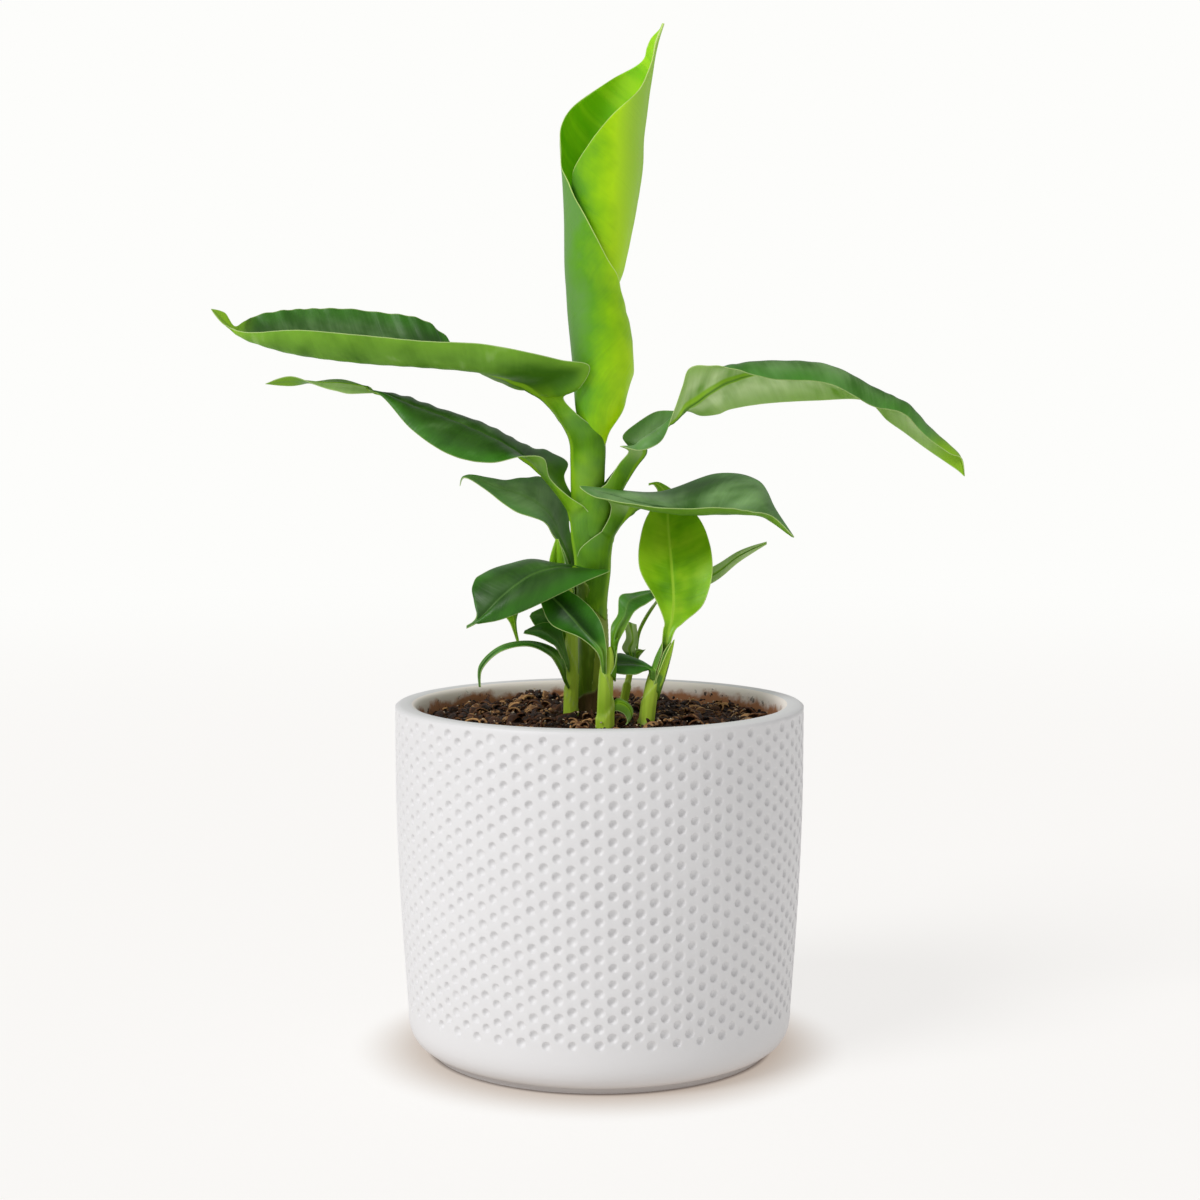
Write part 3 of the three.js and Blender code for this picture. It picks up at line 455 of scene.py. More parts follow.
def rolled_blade():
    """New banana leaf, rolled as it pushed up: bluish where the wax bloom is thick, low on
    its left, yellow-green where painted light comes through it, more to the right and low
    down, with a painted greyish sheen on its upper right, fine lines along the veins, and a
    pale margin thread that is partly its own colour and partly a painted highlight."""
    material, tree, shader = surface("Rolled new leaf")
    where = add_node(tree, "where")
    right, _, up = add_node(tree, "split", where)
    along, off, edge = marks(tree, "place")
    inner = marks(tree, "look")[0]
    sweep = along - abs(off) * ROLL_SLANT
    veins = streaked(sweep, off, ROLL_VEIN, detail=1.0)
    clouds = add_node(tree, "noise", where, ROLL_CLOUDS, 3.0, 0.6)
    bloom = add_node(tree, "distance", where, [c * MM for c in BLOOM_PLACE])
    # The level is painted light: it rises to the right, on one side of the rib and towards the foot, as light
    # through the leaf, and falls near the bloom's place
    light = (
        right * (1 / (21 * MM)) + 0.46 + add_node(tree, "fading", off, -2.0, 4.0) * 0.22
        + add_node(tree, "fading", up, 232 * MM, 262 * MM) * 0.3
        - add_node(tree, "fading", bloom, 2 * MM, 20 * MM) * 0.12
        + (clouds - MIDDLE) * 1.1 + (veins - MIDDLE) * 0.12
    )
    outside = add_node(tree, "ramp", light, stops=(
        (0, linear("669a44")), (0.3, linear("60a01c")), (0.62, linear("86c004")), (1, linear("b2e200")),
    ))
    # A painted greyish sheen on the roll's upper right, rising from 3 mm to 18 mm right of the middle and
    # from 275 mm to 310 mm up
    painted_sheen_right = add_node(tree, "fading", right * -1.0, -18 * MM, -3 * MM)
    low = add_node(tree, "fading", up * -1.0, -310 * MM, -275 * MM)
    outside = add_node(tree, "mix", painted_sheen_right * low * 0.6, outside, linear("8db85c"))
    pale = add_node(tree, "fading", streaked(sweep, off, ROLL_STREAK), 0.3, 0.7)
    inside = add_node(tree, "mix", pale, linear("a4dc1c"), linear("80c80a"))
    body = add_node(tree, "mix", inner, outside, inside)
    # The pale margin thread is partly the margin's own colour and partly a painted highlight
    thread = add_node(tree, "fading", edge, 0.15, 0.45)
    feed(shader, {
        "Base Color": add_node(tree, "mix", thread * 0.7, body, linear("d2e68c")),
        "Roughness": 0.42, "Specular IOR Level": 0.2, "Subsurface Weight": 0.12,
        "Subsurface Radius": LEAF_SPREAD, "Subsurface Scale": 1.2 * MM,
        "Normal": add_node(tree, "bump", 1.0, 0.3 * MM, veins * 0.5 + clouds),
    })
    return material


def stem_material(name, plant, fresh, old):
    """Pseudostem of wrapped leaf sheaths: each sheath has its own green, with fine fibres
    running up it, a pale thread along its margin, partly its own colour and partly a painted
    highlight on the edge, and dry brown where it has died off."""
    material, tree, shader = surface(name)
    tone, thread, dead = marks(tree, "look")
    where = add_node(tree, "where")
    drawn_out = []
    for width, length in (SHEATH_FIBRE, SHEATH_STREAK):
        scale = [1 / (size * MM) for size in (width, width, length)]
        drawn_out.append(add_node(tree, "noise", add_node(tree, "stretch", where, scale), 1.0))
    fibres, streaks = drawn_out
    clouds = add_node(tree, "noise", where, SHEATH_CLOUDS)
    level = tone + (fibres - MIDDLE) * 0.35 + (streaks - MIDDLE) * 0.8 + (clouds - MIDDLE)
    # The light green at the top of the ramp is partly painted light, for sheaths in the shade of leaves
    living = add_node(tree, "ramp", level, stops=((0, old), (0.55, fresh), (1, linear("b0d040"))))
    dry = add_node(tree, "mix", fibres, plant.dead, linear("402a18"))
    body = add_node(tree, "mix", dead, living, dry)
    feed(shader, {
        "Base Color": add_node(tree, "mix", thread * 0.8, body, linear("b4cc6c")),
        "Roughness": dead * 0.35 + 0.38, "Specular IOR Level": 0.25, "Subsurface Weight": 0.12,
        "Subsurface Radius": STEM_SPREAD, "Subsurface Scale": 1.5 * MM,
        "Normal": add_node(tree, "bump", 1.0, 0.12 * MM, fibres),
    })
    return material


def glaze_material(pot):
    """Earthenware under a matt white glaze: nearly smooth, with a faint cloudiness and the
    fine unevenness of a poured glaze."""
    material, tree, shader = surface("Matt white glazed earthenware")
    where = add_node(tree, "where")
    clouds = add_node(tree, "noise", where, GLAZE_CLOUDS, 3.0)
    skin = add_node(tree, "noise", where, GLAZE_SKIN)
    shaded = [c * 0.93 for c in pot.glaze[:3]] + [1.0]
    feed(shader, {
        "Base Color": add_node(tree, "mix", clouds, pot.glaze, shaded), "Roughness": 0.5,
        "Normal": add_node(tree, "bump", 1.0, 0.12 * MM, skin * 0.3 + clouds),
    })
    return material


def stained_material(pot):
    """The same glaze inside the rim, with soil splashed and wicked up it as a brown tide
    line, and loose specks above that."""
    material, tree, shader = surface("Glaze with a soil tide line")
    where = add_node(tree, "where")
    _, _, height = add_node(tree, "split", where)
    ragged = add_node(tree, "noise", where, TIDE_EDGE, 4.0, 0.65)
    level = height + (ragged - MIDDLE) * (-12 * MM)
    specks = add_node(tree, "fading", add_node(tree, "noise", where, DIRT_SPECKS, 3.0, 0.6), 0.34, 0.38)
    dirt = specks * add_node(tree, "fading", level, 123.5 * MM, 128 * MM)
    # The wall turns a little darker and warmer from 129 mm down to 123 mm, towards the soil
    towards_soil = add_node(tree, "fading", height, 123 * MM, 129 * MM)
    graded_wall = add_node(tree, "mix", towards_soil, linear("f4ebe4"), linear("e8dad0"))
    wash = add_node(tree, "fading", level, 122.8 * MM, 126.2 * MM)
    washed = add_node(tree, "mix", wash, graded_wall, pot.stain)
    feed(shader, {
        "Base Color": add_node(tree, "mix", dirt, washed, linear("2c1c10")), "Roughness": 0.6,
        "Normal": add_node(tree, "bump", 1.0, 0.25 * MM, dirt),
    })
    return material


def soil_material(soil):
    """Damp potting soil of peat and shredded bark: near black crumbs, brown chips, each in
    its own shade and paler along its broken edges, and a few pale grains and fibres."""
    material, tree, shader = surface("Peat and bark potting soil")
    shade, pale, _ = marks(tree, "look")
    where = add_node(tree, "where")
    crumbs = add_node(tree, "noise", where, PEAT_CRUMBS, 4.0, 0.7)
    bark = add_node(tree, "noise", where, BARK_GRAIN, 2.0, 0.6)
    level = shade + (crumbs - MIDDLE) * 0.8
    browns = ((0, soil.peat), (MIDDLE, linear("532f14")), (1, soil.bark))
    brown = add_node(tree, "ramp", level, stops=browns)
    feed(shader, {
        "Base Color": add_node(tree, "mix", pale, brown, linear("cdbfa6")), "Roughness": 0.6,
        "Specular IOR Level": 0.25, "Normal": add_node(tree, "bump", 1.0, 0.5 * MM, crumbs + bark),
    })
    return material


def floor_material(stage):
    """Seamless sheet of matt white paper that glows, as if lit through from below, so that
    cast shadows stay soft: a painted warm shadow round the pot's foot with a darker painted
    contact line at its edge, and as white as the backdrop far out."""
    material, tree, shader = surface("Matt white paper sweep")
    distance = add_node(tree, "distance", add_node(tree, "where"), (0, 0, 0))
    # Painted shadow: warm and darker round the pot's foot, fading out by 94 mm
    shadow = add_node(tree, "fading", distance, 62 * MM, 94 * MM)
    glow = add_node(tree, "mix", shadow, stage.floor, linear("a89a8e"))
    # Painted contact line: darker still just outside the foot, out to 64.8 mm
    painted_contact_line = add_node(tree, "fading", distance, 62.2 * MM, 64.8 * MM)
    glow = add_node(tree, "mix", painted_contact_line, glow, linear("5a4c44"))
    near = add_node(tree, "fading", distance, 600 * MM, 2200 * MM)
    feed(shader, {
        "Base Color": add_node(tree, "mix", near, (0, 0, 0, 1), linear("8c8c8b")),
        "Emission Color": add_node(tree, "mix", near, linear(BACKDROP), glow), "Emission Strength": 1.0,
        "Roughness": 0.9, "Specular IOR Level": 0.0,
    })
    return material


# The pot, its sizes in millimetres. A profile is a row of (radius, height).

POT_RADIUS = 75
WALL_LEAN = 4.5
LEAN_FROM = 10
LEAN_HEIGHT = 100
STAINED_WITHIN = 68.2
SOIL_RADIUS = 66
PITS_FROM = 16.1
PITS_TO = 127.6
FOOT_PROFILE = [
    (62.2, 0.0), (62.6, 0.4), (62.6, 1.9), (63.6, 2.3), (66.2, 3.4), (68.2, 5.0), (69.6, 7.2),
    (70.4, 9.6), (70.9, 13.0),
]
RIM_PROFILE = [
    (74.75, 127.8), (74.1, 128.3), (73.0, 128.5), (70.6, 128.5), (69.0, 128.3), (67.9, 127.8),
    (67.3, 126.8), (67.0, 125.4), (66.9, 123.5), (66.8, 121.0), (66.6, 117.0), (62.0, 14.0),
]

# A dimple: its rings as shares of its radius and depth, how its size varies as shares,
# and how far it strays across and up in millimetres
PIT_SIDES = 12
PIT_RINGS = [(1.1, 0), (1.0, 0.03), (0.77, 0.6), (0.4, 0.93)]
PIT_WIDER = (0.88, 1.06)
PIT_DEEPER = (0.8, 1.15)
PIT_STRAY = (0.15, 0.4)
PIT_SEED = 5


def wall_radius(z):
    """Radius of the outer wall at a height: it leans out towards the rim."""
    lean = np.clip((z - LEAN_FROM) / LEAN_HEIGHT, 0, 1)
    return POT_RADIUS - WALL_LEAN + WALL_LEAN * np.sin(lean * math.pi / 2)


class Wall:
    """Points and faces of the pot, with points at the same place shared."""

    def __init__(self, columns):
        self.columns = columns
        self.points = []
        self.faces = []
        self.kinds = []
        self.known = {}

    def add(self, column, z, radius):
        """A new point, at a column counted round from the front."""
        turn = 2 * math.pi * column / self.columns
        self.points.append((radius * math.sin(turn), -radius * math.cos(turn), z))
        return len(self.points) - 1

    def shared(self, half_columns, z):
        """The point on the bare wall at a height, half_columns being a whole number."""
        key = (half_columns % (2 * self.columns), round(z, 3))
        if key not in self.known:
            self.known[key] = self.add(key[0] / 2, z, wall_radius(z))
        return self.known[key]

    def face(self, *corners, kind=0):
        self.faces.append(corners)
        self.kinds.append(kind)

    def band(self, lower, upper, kind=0):
        """The faces between two rings of points."""
        for k in range(len(lower)):
            after = (k + 1) % len(lower)
            self.face(lower[k], lower[after], upper[after], upper[k], kind=kind)


def pitted_cell(wall, column, low, pitch, pot, rng):
    """One dimple and the wall round it, in a cell one column wide and one pitch high."""
    middle = low + pitch / 2
    left, right = 2 * column - 1, 2 * column + 1
    quarters = [low + pitch * k / 4 for k in range(5)]
    border = [wall.shared(right, z) for z in quarters[2:]]
    border += [wall.shared(2 * column, quarters[4])]
    border += [wall.shared(left, z) for z in reversed(quarters)]
    border += [wall.shared(2 * column, quarters[0])]
    border += [wall.shared(right, z) for z in quarters[:2]]
    radius = pot.pit_radius / MM * rng.uniform(*PIT_WIDER)
    depth = pot.pit_depth / MM * rng.uniform(*PIT_DEEPER)
    aside, lift = (rng.uniform(-most, most) for most in PIT_STRAY)
    width = 2 * math.pi * wall_radius(middle) / wall.columns
    outer = border
    for share, drop in PIT_RINGS:
        ring = []
        for k in range(PIT_SIDES):
            turn = 2 * math.pi * k / PIT_SIDES
            z = middle + lift + radius * share * math.sin(turn)
            place = column + (aside + radius * share * math.cos(turn)) / width
            ring.append(wall.add(place, z, wall_radius(z) - depth * drop))
        wall.band(outer, ring)
        outer = ring
    z = middle + lift
    bottom = wall.add(column + aside / width, z, wall_radius(z) - depth)
    for k in range(PIT_SIDES):
        wall.face(outer[k], outer[(k + 1) % PIT_SIDES], bottom)


def plain_cell(wall, column, low, pitch):
    """The bare half cell that fills out every other column at its two ends."""
    for half in (2 * column - 1, 2 * column):
        for k in range(2):
            bottom, top = low + pitch * k / 4, low + pitch * (k + 1) / 4
            wall.face(wall.shared(half, bottom), wall.shared(half + 1, bottom),
                      wall.shared(half + 1, top), wall.shared(half, top))


def pot_wall(pot):
    """The dimpled wall: every other column stands half a pitch higher."""
    rng = random.Random(PIT_SEED)
    wall = Wall(pot.pit_columns)
    pitch = (PITS_TO - PITS_FROM) / pot.pit_rows
    for column in range(pot.pit_columns):
        if column % 2 == 0:
            for row in range(pot.pit_rows):
                pitted_cell(wall, column, PITS_FROM + row * pitch, pitch, pot, rng)
        else:
            plain_cell(wall, column, PITS_FROM, pitch)
            for row in range(pot.pit_rows - 1):
                pitted_cell(wall, column, PITS_FROM + (row + 0.5) * pitch, pitch, pot, rng)
            plain_cell(wall, column, PITS_TO - pitch / 2, pitch)
    return wall


def close_pot(wall):
    """The foot under the dimpled wall, and the rim, the inside wall and the floor."""
    halves = range(2 * wall.columns)
    below = [wall.shared(half, PITS_FROM) for half in halves]
    above = [wall.shared(half, PITS_TO) for half in halves]
    for radius, z in reversed(FOOT_PROFILE):
        ring = [wall.add(half / 2, z, radius) for half in halves]
        wall.band(ring, below)
        below = ring
    wall.face(*reversed(below))
    for radius, z in RIM_PROFILE:
        ring = [wall.add(half / 2, z, radius) for half in halves]
        wall.band(above, ring, kind=int(radius < STAINED_WITHIN))
        above = ring
    wall.face(*above, kind=1)


class BANANA_OT_pot(bpy.types.Operator):
    """Build the white pot with its dimpled wall, rounded rim and stained inside"""

    bl_idname = "banana.pot"
    bl_label = "Pot"

    def execute(self, context):
        pot = context.scene.banana_pot
        wall = pot_wall(pot)
        close_pot(wall)
        piece = make_object(
            "Pot", wall.points, wall.faces, [glaze_material(pot), stained_material(pot)], wall.kinds
        )
        stand_for(piece, "pot")
        return {"FINISHED"}


# The soil, its sizes in millimetres. BED_CRUMBS holds the height, the fineness and the
# layer of noise of each of its two sizes of crumbs.

SOIL_TOP = 121
SOIL_RISE = 2
SOIL_SKIRT = 6
SOIL_RINGS = 44
SOIL_SECTORS = 176
SOIL_SEED = 21
BED_SHADE = 0.12
HEAP = (-27, 54)
HEAP_HEIGHT = 2.5
HEAP_SPREAD = 5
BED_CRUMBS = [(1.5, 0.45, 0), (0.8, 1.3, 9)]
BED_DROP = 0.6
BED_OVERLAP = 0.3
CRUMBS_PER_GRAIN = 7
TURN = 6.28

# A curled shaving: its mesh, the angle that it bends through in radians, its half width
# and half thickness in millimetres, and how far it may roll and pitch in radians
SHAVING_ROWS = 8
SHAVING_COLUMNS = 5
SHAVING_SWEEP = (1.2, 4.2)
SHAVING_WIDTH = (0.7, 1.2)
SHAVING_HALF = (0.15, 0.35)
SHAVING_TILT = (1.5, 0.8)

# A root fibre: its mesh, its step, its radius in millimetres and its bend in radians a step
FIBRE_RINGS = 8
FIBRE_SIDES = 3
FIBRE_STEP = 0.9
FIBRE_RADIUS = (0.1, 0.22)
FIBRE_BEND = 0.35

# A lump: how rough it is as a share of its size, and how far it may tilt in radians
LUMP_ROUGHNESS = 0.5
LUMP_TILT = (0.6, 0.5)


def soil_height(x, y):
    """Height of the soil: a low mound with lumps, and one heap at the back."""
    radius = math.hypot(x, y)
    mound = SOIL_RISE * math.cos(math.pi * radius / (2 * SOIL_RADIUS))
    lumps = 0.9 * math.sin(0.31 * x + 1) * math.cos(0.27 * y) + 0.5 * math.sin(0.6 * x - 0.5 * y)
    heap = HEAP_HEIGHT * math.exp(-((x - HEAP[0]) ** 2 + (y - HEAP[1]) ** 2) / (2 * HEAP_SPREAD ** 2))
    return SOIL_TOP + mound + lumps + heap


def soil_bed(parts):
    """The rough top of the soil, with its sunken border at the pot wall."""
    points = [(0, 0, soil_height(0, 0))]
    for ring in range(1, SOIL_RINGS + 1):
        for x, y in circle((SOIL_RADIUS + BED_OVERLAP) * ring / SOIL_RINGS, SOIL_SECTORS):
            crumb = sum(size * noise.noise(Vector((x, y, layer)) * fineness)
                        for size, fineness, layer in BED_CRUMBS)
            points.append((x, y, soil_height(x, y) - BED_DROP + crumb))
    points += [(x, y, SOIL_TOP - SOIL_SKIRT) for x, y in circle(SOIL_RADIUS, SOIL_SECTORS)]
    points.append((0, 0, SOIL_TOP - SOIL_SKIRT))
    faces = [(0, 1 + k, 1 + (k + 1) % SOIL_SECTORS) for k in range(SOIL_SECTORS)]
    faces += (tube_faces(SOIL_RINGS + 1, SOIL_SECTORS) + 1)[:, ::-1].tolist()
    last = 1 + SOIL_RINGS * SOIL_SECTORS
    faces += [(len(points) - 1, last + (k + 1) % SOIL_SECTORS, last + k) for k in range(SOIL_SECTORS)]
    parts.append((np.array(points), faces, (BED_SHADE, 0, 0)))


def ball_shape(fineness):
    """The points and faces of a ball, to be bent into chips and crumbs."""
    ball = bmesh.new()
    bmesh.ops.create_icosphere(ball, subdivisions=fineness, radius=1)
    points = np.array([vertex.co[:] for vertex in ball.verts])
    faces = [tuple(vertex.index for vertex in face.verts) for face in ball.faces]
    ball.free()
    return points, faces


def scattered(rng, clear):
    """A random place on the soil, out of the stems."""
    while True:
        radius = (SOIL_RADIUS - 2.5) * math.sqrt(rng.random())
        turn = 2 * math.pi * rng.random()
        x, y = radius * math.cos(turn), radius * math.sin(turn)
        if all(math.hypot(x - cx, y - cy) > reach for cx, cy, reach in clear):
            return x, y


def soil_lumps(parts, count, rng, clear, fineness, sizes, flatness, curl, lift, shades):
    """Lumps from the ball, stretched, roughened, curled and turned at random."""
    points, faces = ball_shape(fineness)
    for _ in range(count):
        x, y = scattered(rng, clear)
        size = rng.uniform(*sizes)
        scale = np.array([1, rng.uniform(*flatness), rng.uniform(*flatness) * 0.7]) * size
        offset = Vector((rng.random(), rng.random(), rng.random())) * 50
        rough = np.array([1 + LUMP_ROUGHNESS * noise.noise(Vector(p) * 1.6 + offset) for p in points])
        lump = points * rough[:, None] * scale
        lump[:, 2] += rng.uniform(*curl) * lump[:, 0] ** 2 / size
        turn = Euler([rng.uniform(-most, most) for most in LUMP_TILT] + [rng.uniform(0, TURN)])
        lump = lump @ np.array(turn.to_matrix()).T + (x, y, soil_height(x, y) + rng.uniform(*lift))
        parts.append((lump, faces, shades(rng)))


def soil_shavings(parts, count, rng, clear):
    """Curled bark shavings: short bowed strips with narrow ends and pale broken edges."""
    faces, _ = sheet_faces(SHAVING_ROWS, SHAVING_COLUMNS)
    share = np.linspace(-1, 1, SHAVING_COLUMNS)[None, :]
    for _ in range(count):
        x, y = scattered(rng, clear)
        size = rng.random() ** 2
        curl = 1.3 + 3 * size
        sweep = rng.uniform(*SHAVING_SWEEP)
        width = rng.uniform(*SHAVING_WIDTH) * (1 + size)
        turn = np.linspace(-sweep / 2, sweep / 2, SHAVING_ROWS)[:, None]
        across = share * width * np.cos(2.2 * turn / sweep)
        grid = np.stack([
            curl * np.sin(turn) + 0 * across, across, curl * (np.cos(turn) - 0.6) - 0.2 * across ** 2,
        ], -1)
        half = rng.uniform(*SHAVING_HALF) * np.ones(grid.shape[:2])
        lie = Euler([rng.uniform(-most, most) for most in SHAVING_TILT] + [rng.uniform(0, TURN)])
        strip = sheet_points(grid, half, half) @ np.array(lie.to_matrix()).T
        strip += (x, y, soil_height(x, y) + rng.uniform(0, 1))
        shade = np.tile((rng.random() ** 2.2 * 0.8 + 0.45 * share ** 4 + 0 * turn).ravel(), 2)
        parts.append((strip, faces.tolist(), np.stack([shade, 0 * shade, 0 * shade], -1)))


def soil_fibres(parts, count, rng, clear):
    """Thin bent root fibres lying loose on top."""
    for _ in range(count):
        x, y = scattered(rng, clear)
        heading = rng.uniform(0, TURN)
        bend = rng.uniform(-FIBRE_BEND, FIBRE_BEND)
        radius = rng.uniform(*FIBRE_RADIUS)
        rings = []
        for k in range(FIBRE_RINGS):
            z = soil_height(x, y) + 0.7 + 0.8 * math.sin(k * 0.9 + heading)
            for side in range(FIBRE_SIDES):
                turn = 2 * math.pi * side / FIBRE_SIDES
                rings.append((x - radius * math.cos(turn) * math.sin(heading),
                              y + radius * math.cos(turn) * math.cos(heading), z + radius * math.sin(turn)))
            if math.hypot(x, y) < SOIL_RADIUS - 3:
                x += FIBRE_STEP * math.cos(heading)
                y += FIBRE_STEP * math.sin(heading)
            heading += bend
        faces = tube_faces(FIBRE_RINGS, FIBRE_SIDES).tolist()
        parts.append((np.array(rings), faces, (rng.uniform(0.5, 0.95), rng.choice((0, 0.15, 0.35)), 0)))


class BANANA_OT_soil(bpy.types.Operator):
    """Fill the pot with peat, bark chips, crumbs and fibres"""

    bl_idname = "banana.soil"
    bl_label = "Soil"

    def execute(self, context):
        soil = context.scene.banana_soil
        rng = random.Random(SOIL_SEED)
        clear = [(path[1][0], path[1][1], path[1][3]) for path in STEM_PATHS.values()]
        parts = []
        soil_bed(parts)
        soil_lumps(
            parts, soil.chips, rng, clear, fineness=2, sizes=(1.2, 3.4), flatness=(0.3, 0.6),
            curl=(-0.6, 0.6), lift=(-0.5, 0.7), shades=lambda r: (r.random() ** 2 * 0.8, 0, 0),
        )
        soil_shavings(parts, soil.shavings, rng, clear)
        soil_lumps(
            parts, soil.crumbs, rng, clear, fineness=1, sizes=(0.35, 1.1), flatness=(0.6, 1.0),
            curl=(0, 0), lift=(-0.2, 1.6), shades=lambda r: (r.random() ** 2.5 * 0.8, 0, 0),
        )
        soil_lumps(
            parts, soil.crumbs // CRUMBS_PER_GRAIN, rng, clear, fineness=1, sizes=(0.25, 0.6),
            flatness=(0.5, 0.8), curl=(0, 0), lift=(0.9, 2.4), shades=lambda r: (1, r.uniform(0.5, 1), 0),
        )
        soil_fibres(parts, soil.fibres, rng, clear)
        points, faces, looks, start = [], [], [], 0
        for part_points, part_faces, look in parts:
            points.append(part_points)
            faces += [[corner + start for corner in face] for face in part_faces]
            looks.append(np.broadcast_to(look, (len(part_points), 3)))
            start += len(part_points)
        piece = make_object(
            "Potting_soil", np.concatenate(points), faces, [soil_material(soil)],
            attributes={"look": np.concatenate(looks)},
        )
        stand_for(piece, "soil")
        return {"FINISHED"}


# Stems: [x, y, z, radius] from below the soil up, in millimetres

STEM_PATHS = {
    "main_stem": [
        [-4, 10, 112, 7.8], [-4, 10, 120, 7.4], [-3.5, 9, 130, 6.6], [-2.5, 5, 148, 6],
        [-3, 2, 165, 6], [-3.2, 0.5, 181, 6.1], [-3.6, 0, 195, 6.1], [-4, 0, 207, 6], [-4.2, 0, 217, 5.8],
        [-2.5, 0, 226, 4.8],
    ],
    "left_shoot_stem": [
        [-11, 1, 112, 2.7], [-11, 1, 116, 2.8], [-10.5, 0.5, 124, 2.6], [-10, -3, 146, 2.5],
        [-10.2, -5, 157, 2.4], [-10.8, -8, 167, 1.9], [-11.2, -10.4, 173.5, 1],
    ],
    "front_shoot_stem": [
        [2, -26, 112, 3.5], [2, -26, 114, 3.6], [2, -26, 124, 3.1], [2.5, -26, 140, 2.8],
        [3.2, -25.5, 147, 2.3], [3.6, -25.1, 150, 1.4], [3.8, -24.9, 151.5, 0.5],
    ],
    "right_shoot_stem": [
        [16, -18, 112, 3.5], [16.5, -17.5, 114, 3.6], [16.8, -17, 122, 3], [19, -16.5, 137, 2.7],
        [21.5, -15.3, 145, 2.2], [22.2, -15.1, 147, 1.5], [22.6, -15, 148.2, 0.6],
    ],
    "small_shoot_stem": [
        [8.2, 24, 112, 1.8], [8.5, 24, 118, 2], [9, 24, 124, 1.6], [11, 23, 134, 1.4], [12.8, 22.5, 142, 1.3],
    ],
}

# The sheaths wrapped round each stem, innermost first: the shade of the sheath, how
# dead it is, and the height of its upper margin at turns in degrees from the front,
# right being positive. A sheath covers the stem from its margin down.
SHEATHS = {
    "main_stem": [
        (0.62, 0.0, [(-180, 240), (180, 240)]),
        (0.7, 0.12, [(-180, 156), (-60, 168), (0, 178), (21, 173), (51, 167), (90, 160), (180, 150)]),
        (0.58, 0.12, [(-180, 160), (-60, 176), (-10, 172), (17, 164), (47, 154), (60, 145), (90, 140),
                      (180, 150)]),
        (0.95, 0.3, [(-180, 118), (0, 118), (8, 146), (20, 172), (60, 172), (90, 150), (180, 118)]),
        (0.25, 0.8, [(-180, 126), (-60, 127), (-20, 131), (15, 132), (50, 139), (90, 138), (180, 128)]),
    ],
    # The shoots' sheaths are set light, near the top of the ramp, partly as painted light against the shade
    # of the leaves over them
    "left_shoot_stem": [
        (1.15, 0.0, [(-180, 200), (180, 200)]),
        (1.0, 0.0, [(-180, 156), (-40, 150), (30, 143), (90, 138), (180, 132)]),
        (1.1, 0.03, [(-180, 136), (-60, 133), (20, 128), (180, 122)]),
    ],
    "front_shoot_stem": [
        (0.9, 0.0, [(-180, 200), (180, 200)]),
        (0.8, 0.0, [(-180, 144), (-90, 146), (0, 141), (50, 134), (180, 128)]),
        (1.0, 0.0, [(-180, 126), (0, 127), (60, 131), (120, 131), (180, 126)]),
    ],
    "right_shoot_stem": [
        (1.05, 0.0, [(-180, 200), (180, 200)]),
        (0.98, 0.0, [(-180, 128), (-60, 132), (20, 137), (90, 141), (180, 134)]),
        (0.9, 0.0, [(-180, 125), (180, 121)]),
    ],
    "small_shoot_stem": [
        (0.9, 0.0, [(-180, 200), (180, 200)]),
        (0.8, 0.0, [(-180, 131), (0, 134), (180, 128)]),
    ],
}

# The step in the stem at a sheath's margin and half the height that it takes, and the
# low ridges round a stem, in millimetres
SHEATH_STEP = 0.28
SHEATH_EDGE = 0.25
RIDGE_HEIGHT = 0.05
RIDGES = 9

# Sides of a stem, and rings between two of its stations
MAIN_STEM_MESH = (144, 34)
SHOOT_STEM_MESH = (56, 14)


def stem_mesh(path, sheaths, sides, steps):
    """A stem's points with a low step at each sheath's margin, and its looks."""
    rows = smooth_rows(path, steps)
    turn = np.linspace(-180, 180, sides, endpoint=False)
    x, y, z, radius = (rows[:, k][:, None] for k in range(4))
    heights = np.repeat(z, sides, axis=1)
    reach = np.repeat(radius, sides, axis=1) - SHEATH_STEP * (len(sheaths) - 1) * 0.55
    tone = np.full_like(reach, sheaths[0][0])
    dead = np.full_like(reach, sheaths[0][1])
    thread = np.zeros_like(reach)
    for shade, dryness, margin in sheaths[1:]:
        under = np.interp(turn, *zip(*margin)) - heights
        inside = smooth_step(under, -SHEATH_EDGE, SHEATH_EDGE)
        reach += SHEATH_STEP * inside * (1 + 0.6 * np.exp(-np.abs(under) / 2.0))
        tone += (shade - tone) * inside
        dead += (dryness - dead) * inside
        thread = thread * (1 - inside) + (1 - dryness) * np.exp(-((under - 0.2) / 0.4) ** 2)
    angle = np.radians(turn)
    reach += RIDGE_HEIGHT * np.sin(angle * RIDGES + heights * 0.02)
    looks = np.stack([tone, np.clip(thread, 0, 1), dead], -1)
    return round_axis(x, y, reach, angle, heights).reshape(-1, 3), looks.reshape(-1, 3), len(rows)


class BANANA_OT_stems(bpy.types.Operator):
    """Grow the old stem and the stems of the four side shoots, wrapped in their sheaths"""

    bl_idname = "banana.stems"
    bl_label = "Stems"

    def execute(self, context):
        plant = context.scene.banana_plant
        fresh = stem_material("Fresh green sheath", plant, linear("7aa418"), linear("4c7008"))
        old = stem_material("Old olive sheath", plant, linear("648c14"), linear("414a08"))
        for node, path in STEM_PATHS.items():
            main = node == "main_stem"
            sides, steps = MAIN_STEM_MESH if main else SHOOT_STEM_MESH
            points, looks, rings = stem_mesh(path, SHEATHS[node], sides, steps)
            faces = tube_faces(rings, sides).tolist()
            faces.append(list(range(sides))[::-1])
            faces.append([(rings - 1) * sides + k for k in range(sides)])
            material = old if main else fresh
            piece = make_object(node.capitalize(), points, faces, [material], attributes={"look": looks})
            stand_for(piece, node)
        return {"FINISHED"}


# The rolled new leaf: [z, centre x, centre y, radius at the rib, where the inner margin
# is, where the outer margin is], with turns in degrees from the front by way of the
# right, and the rib at 90

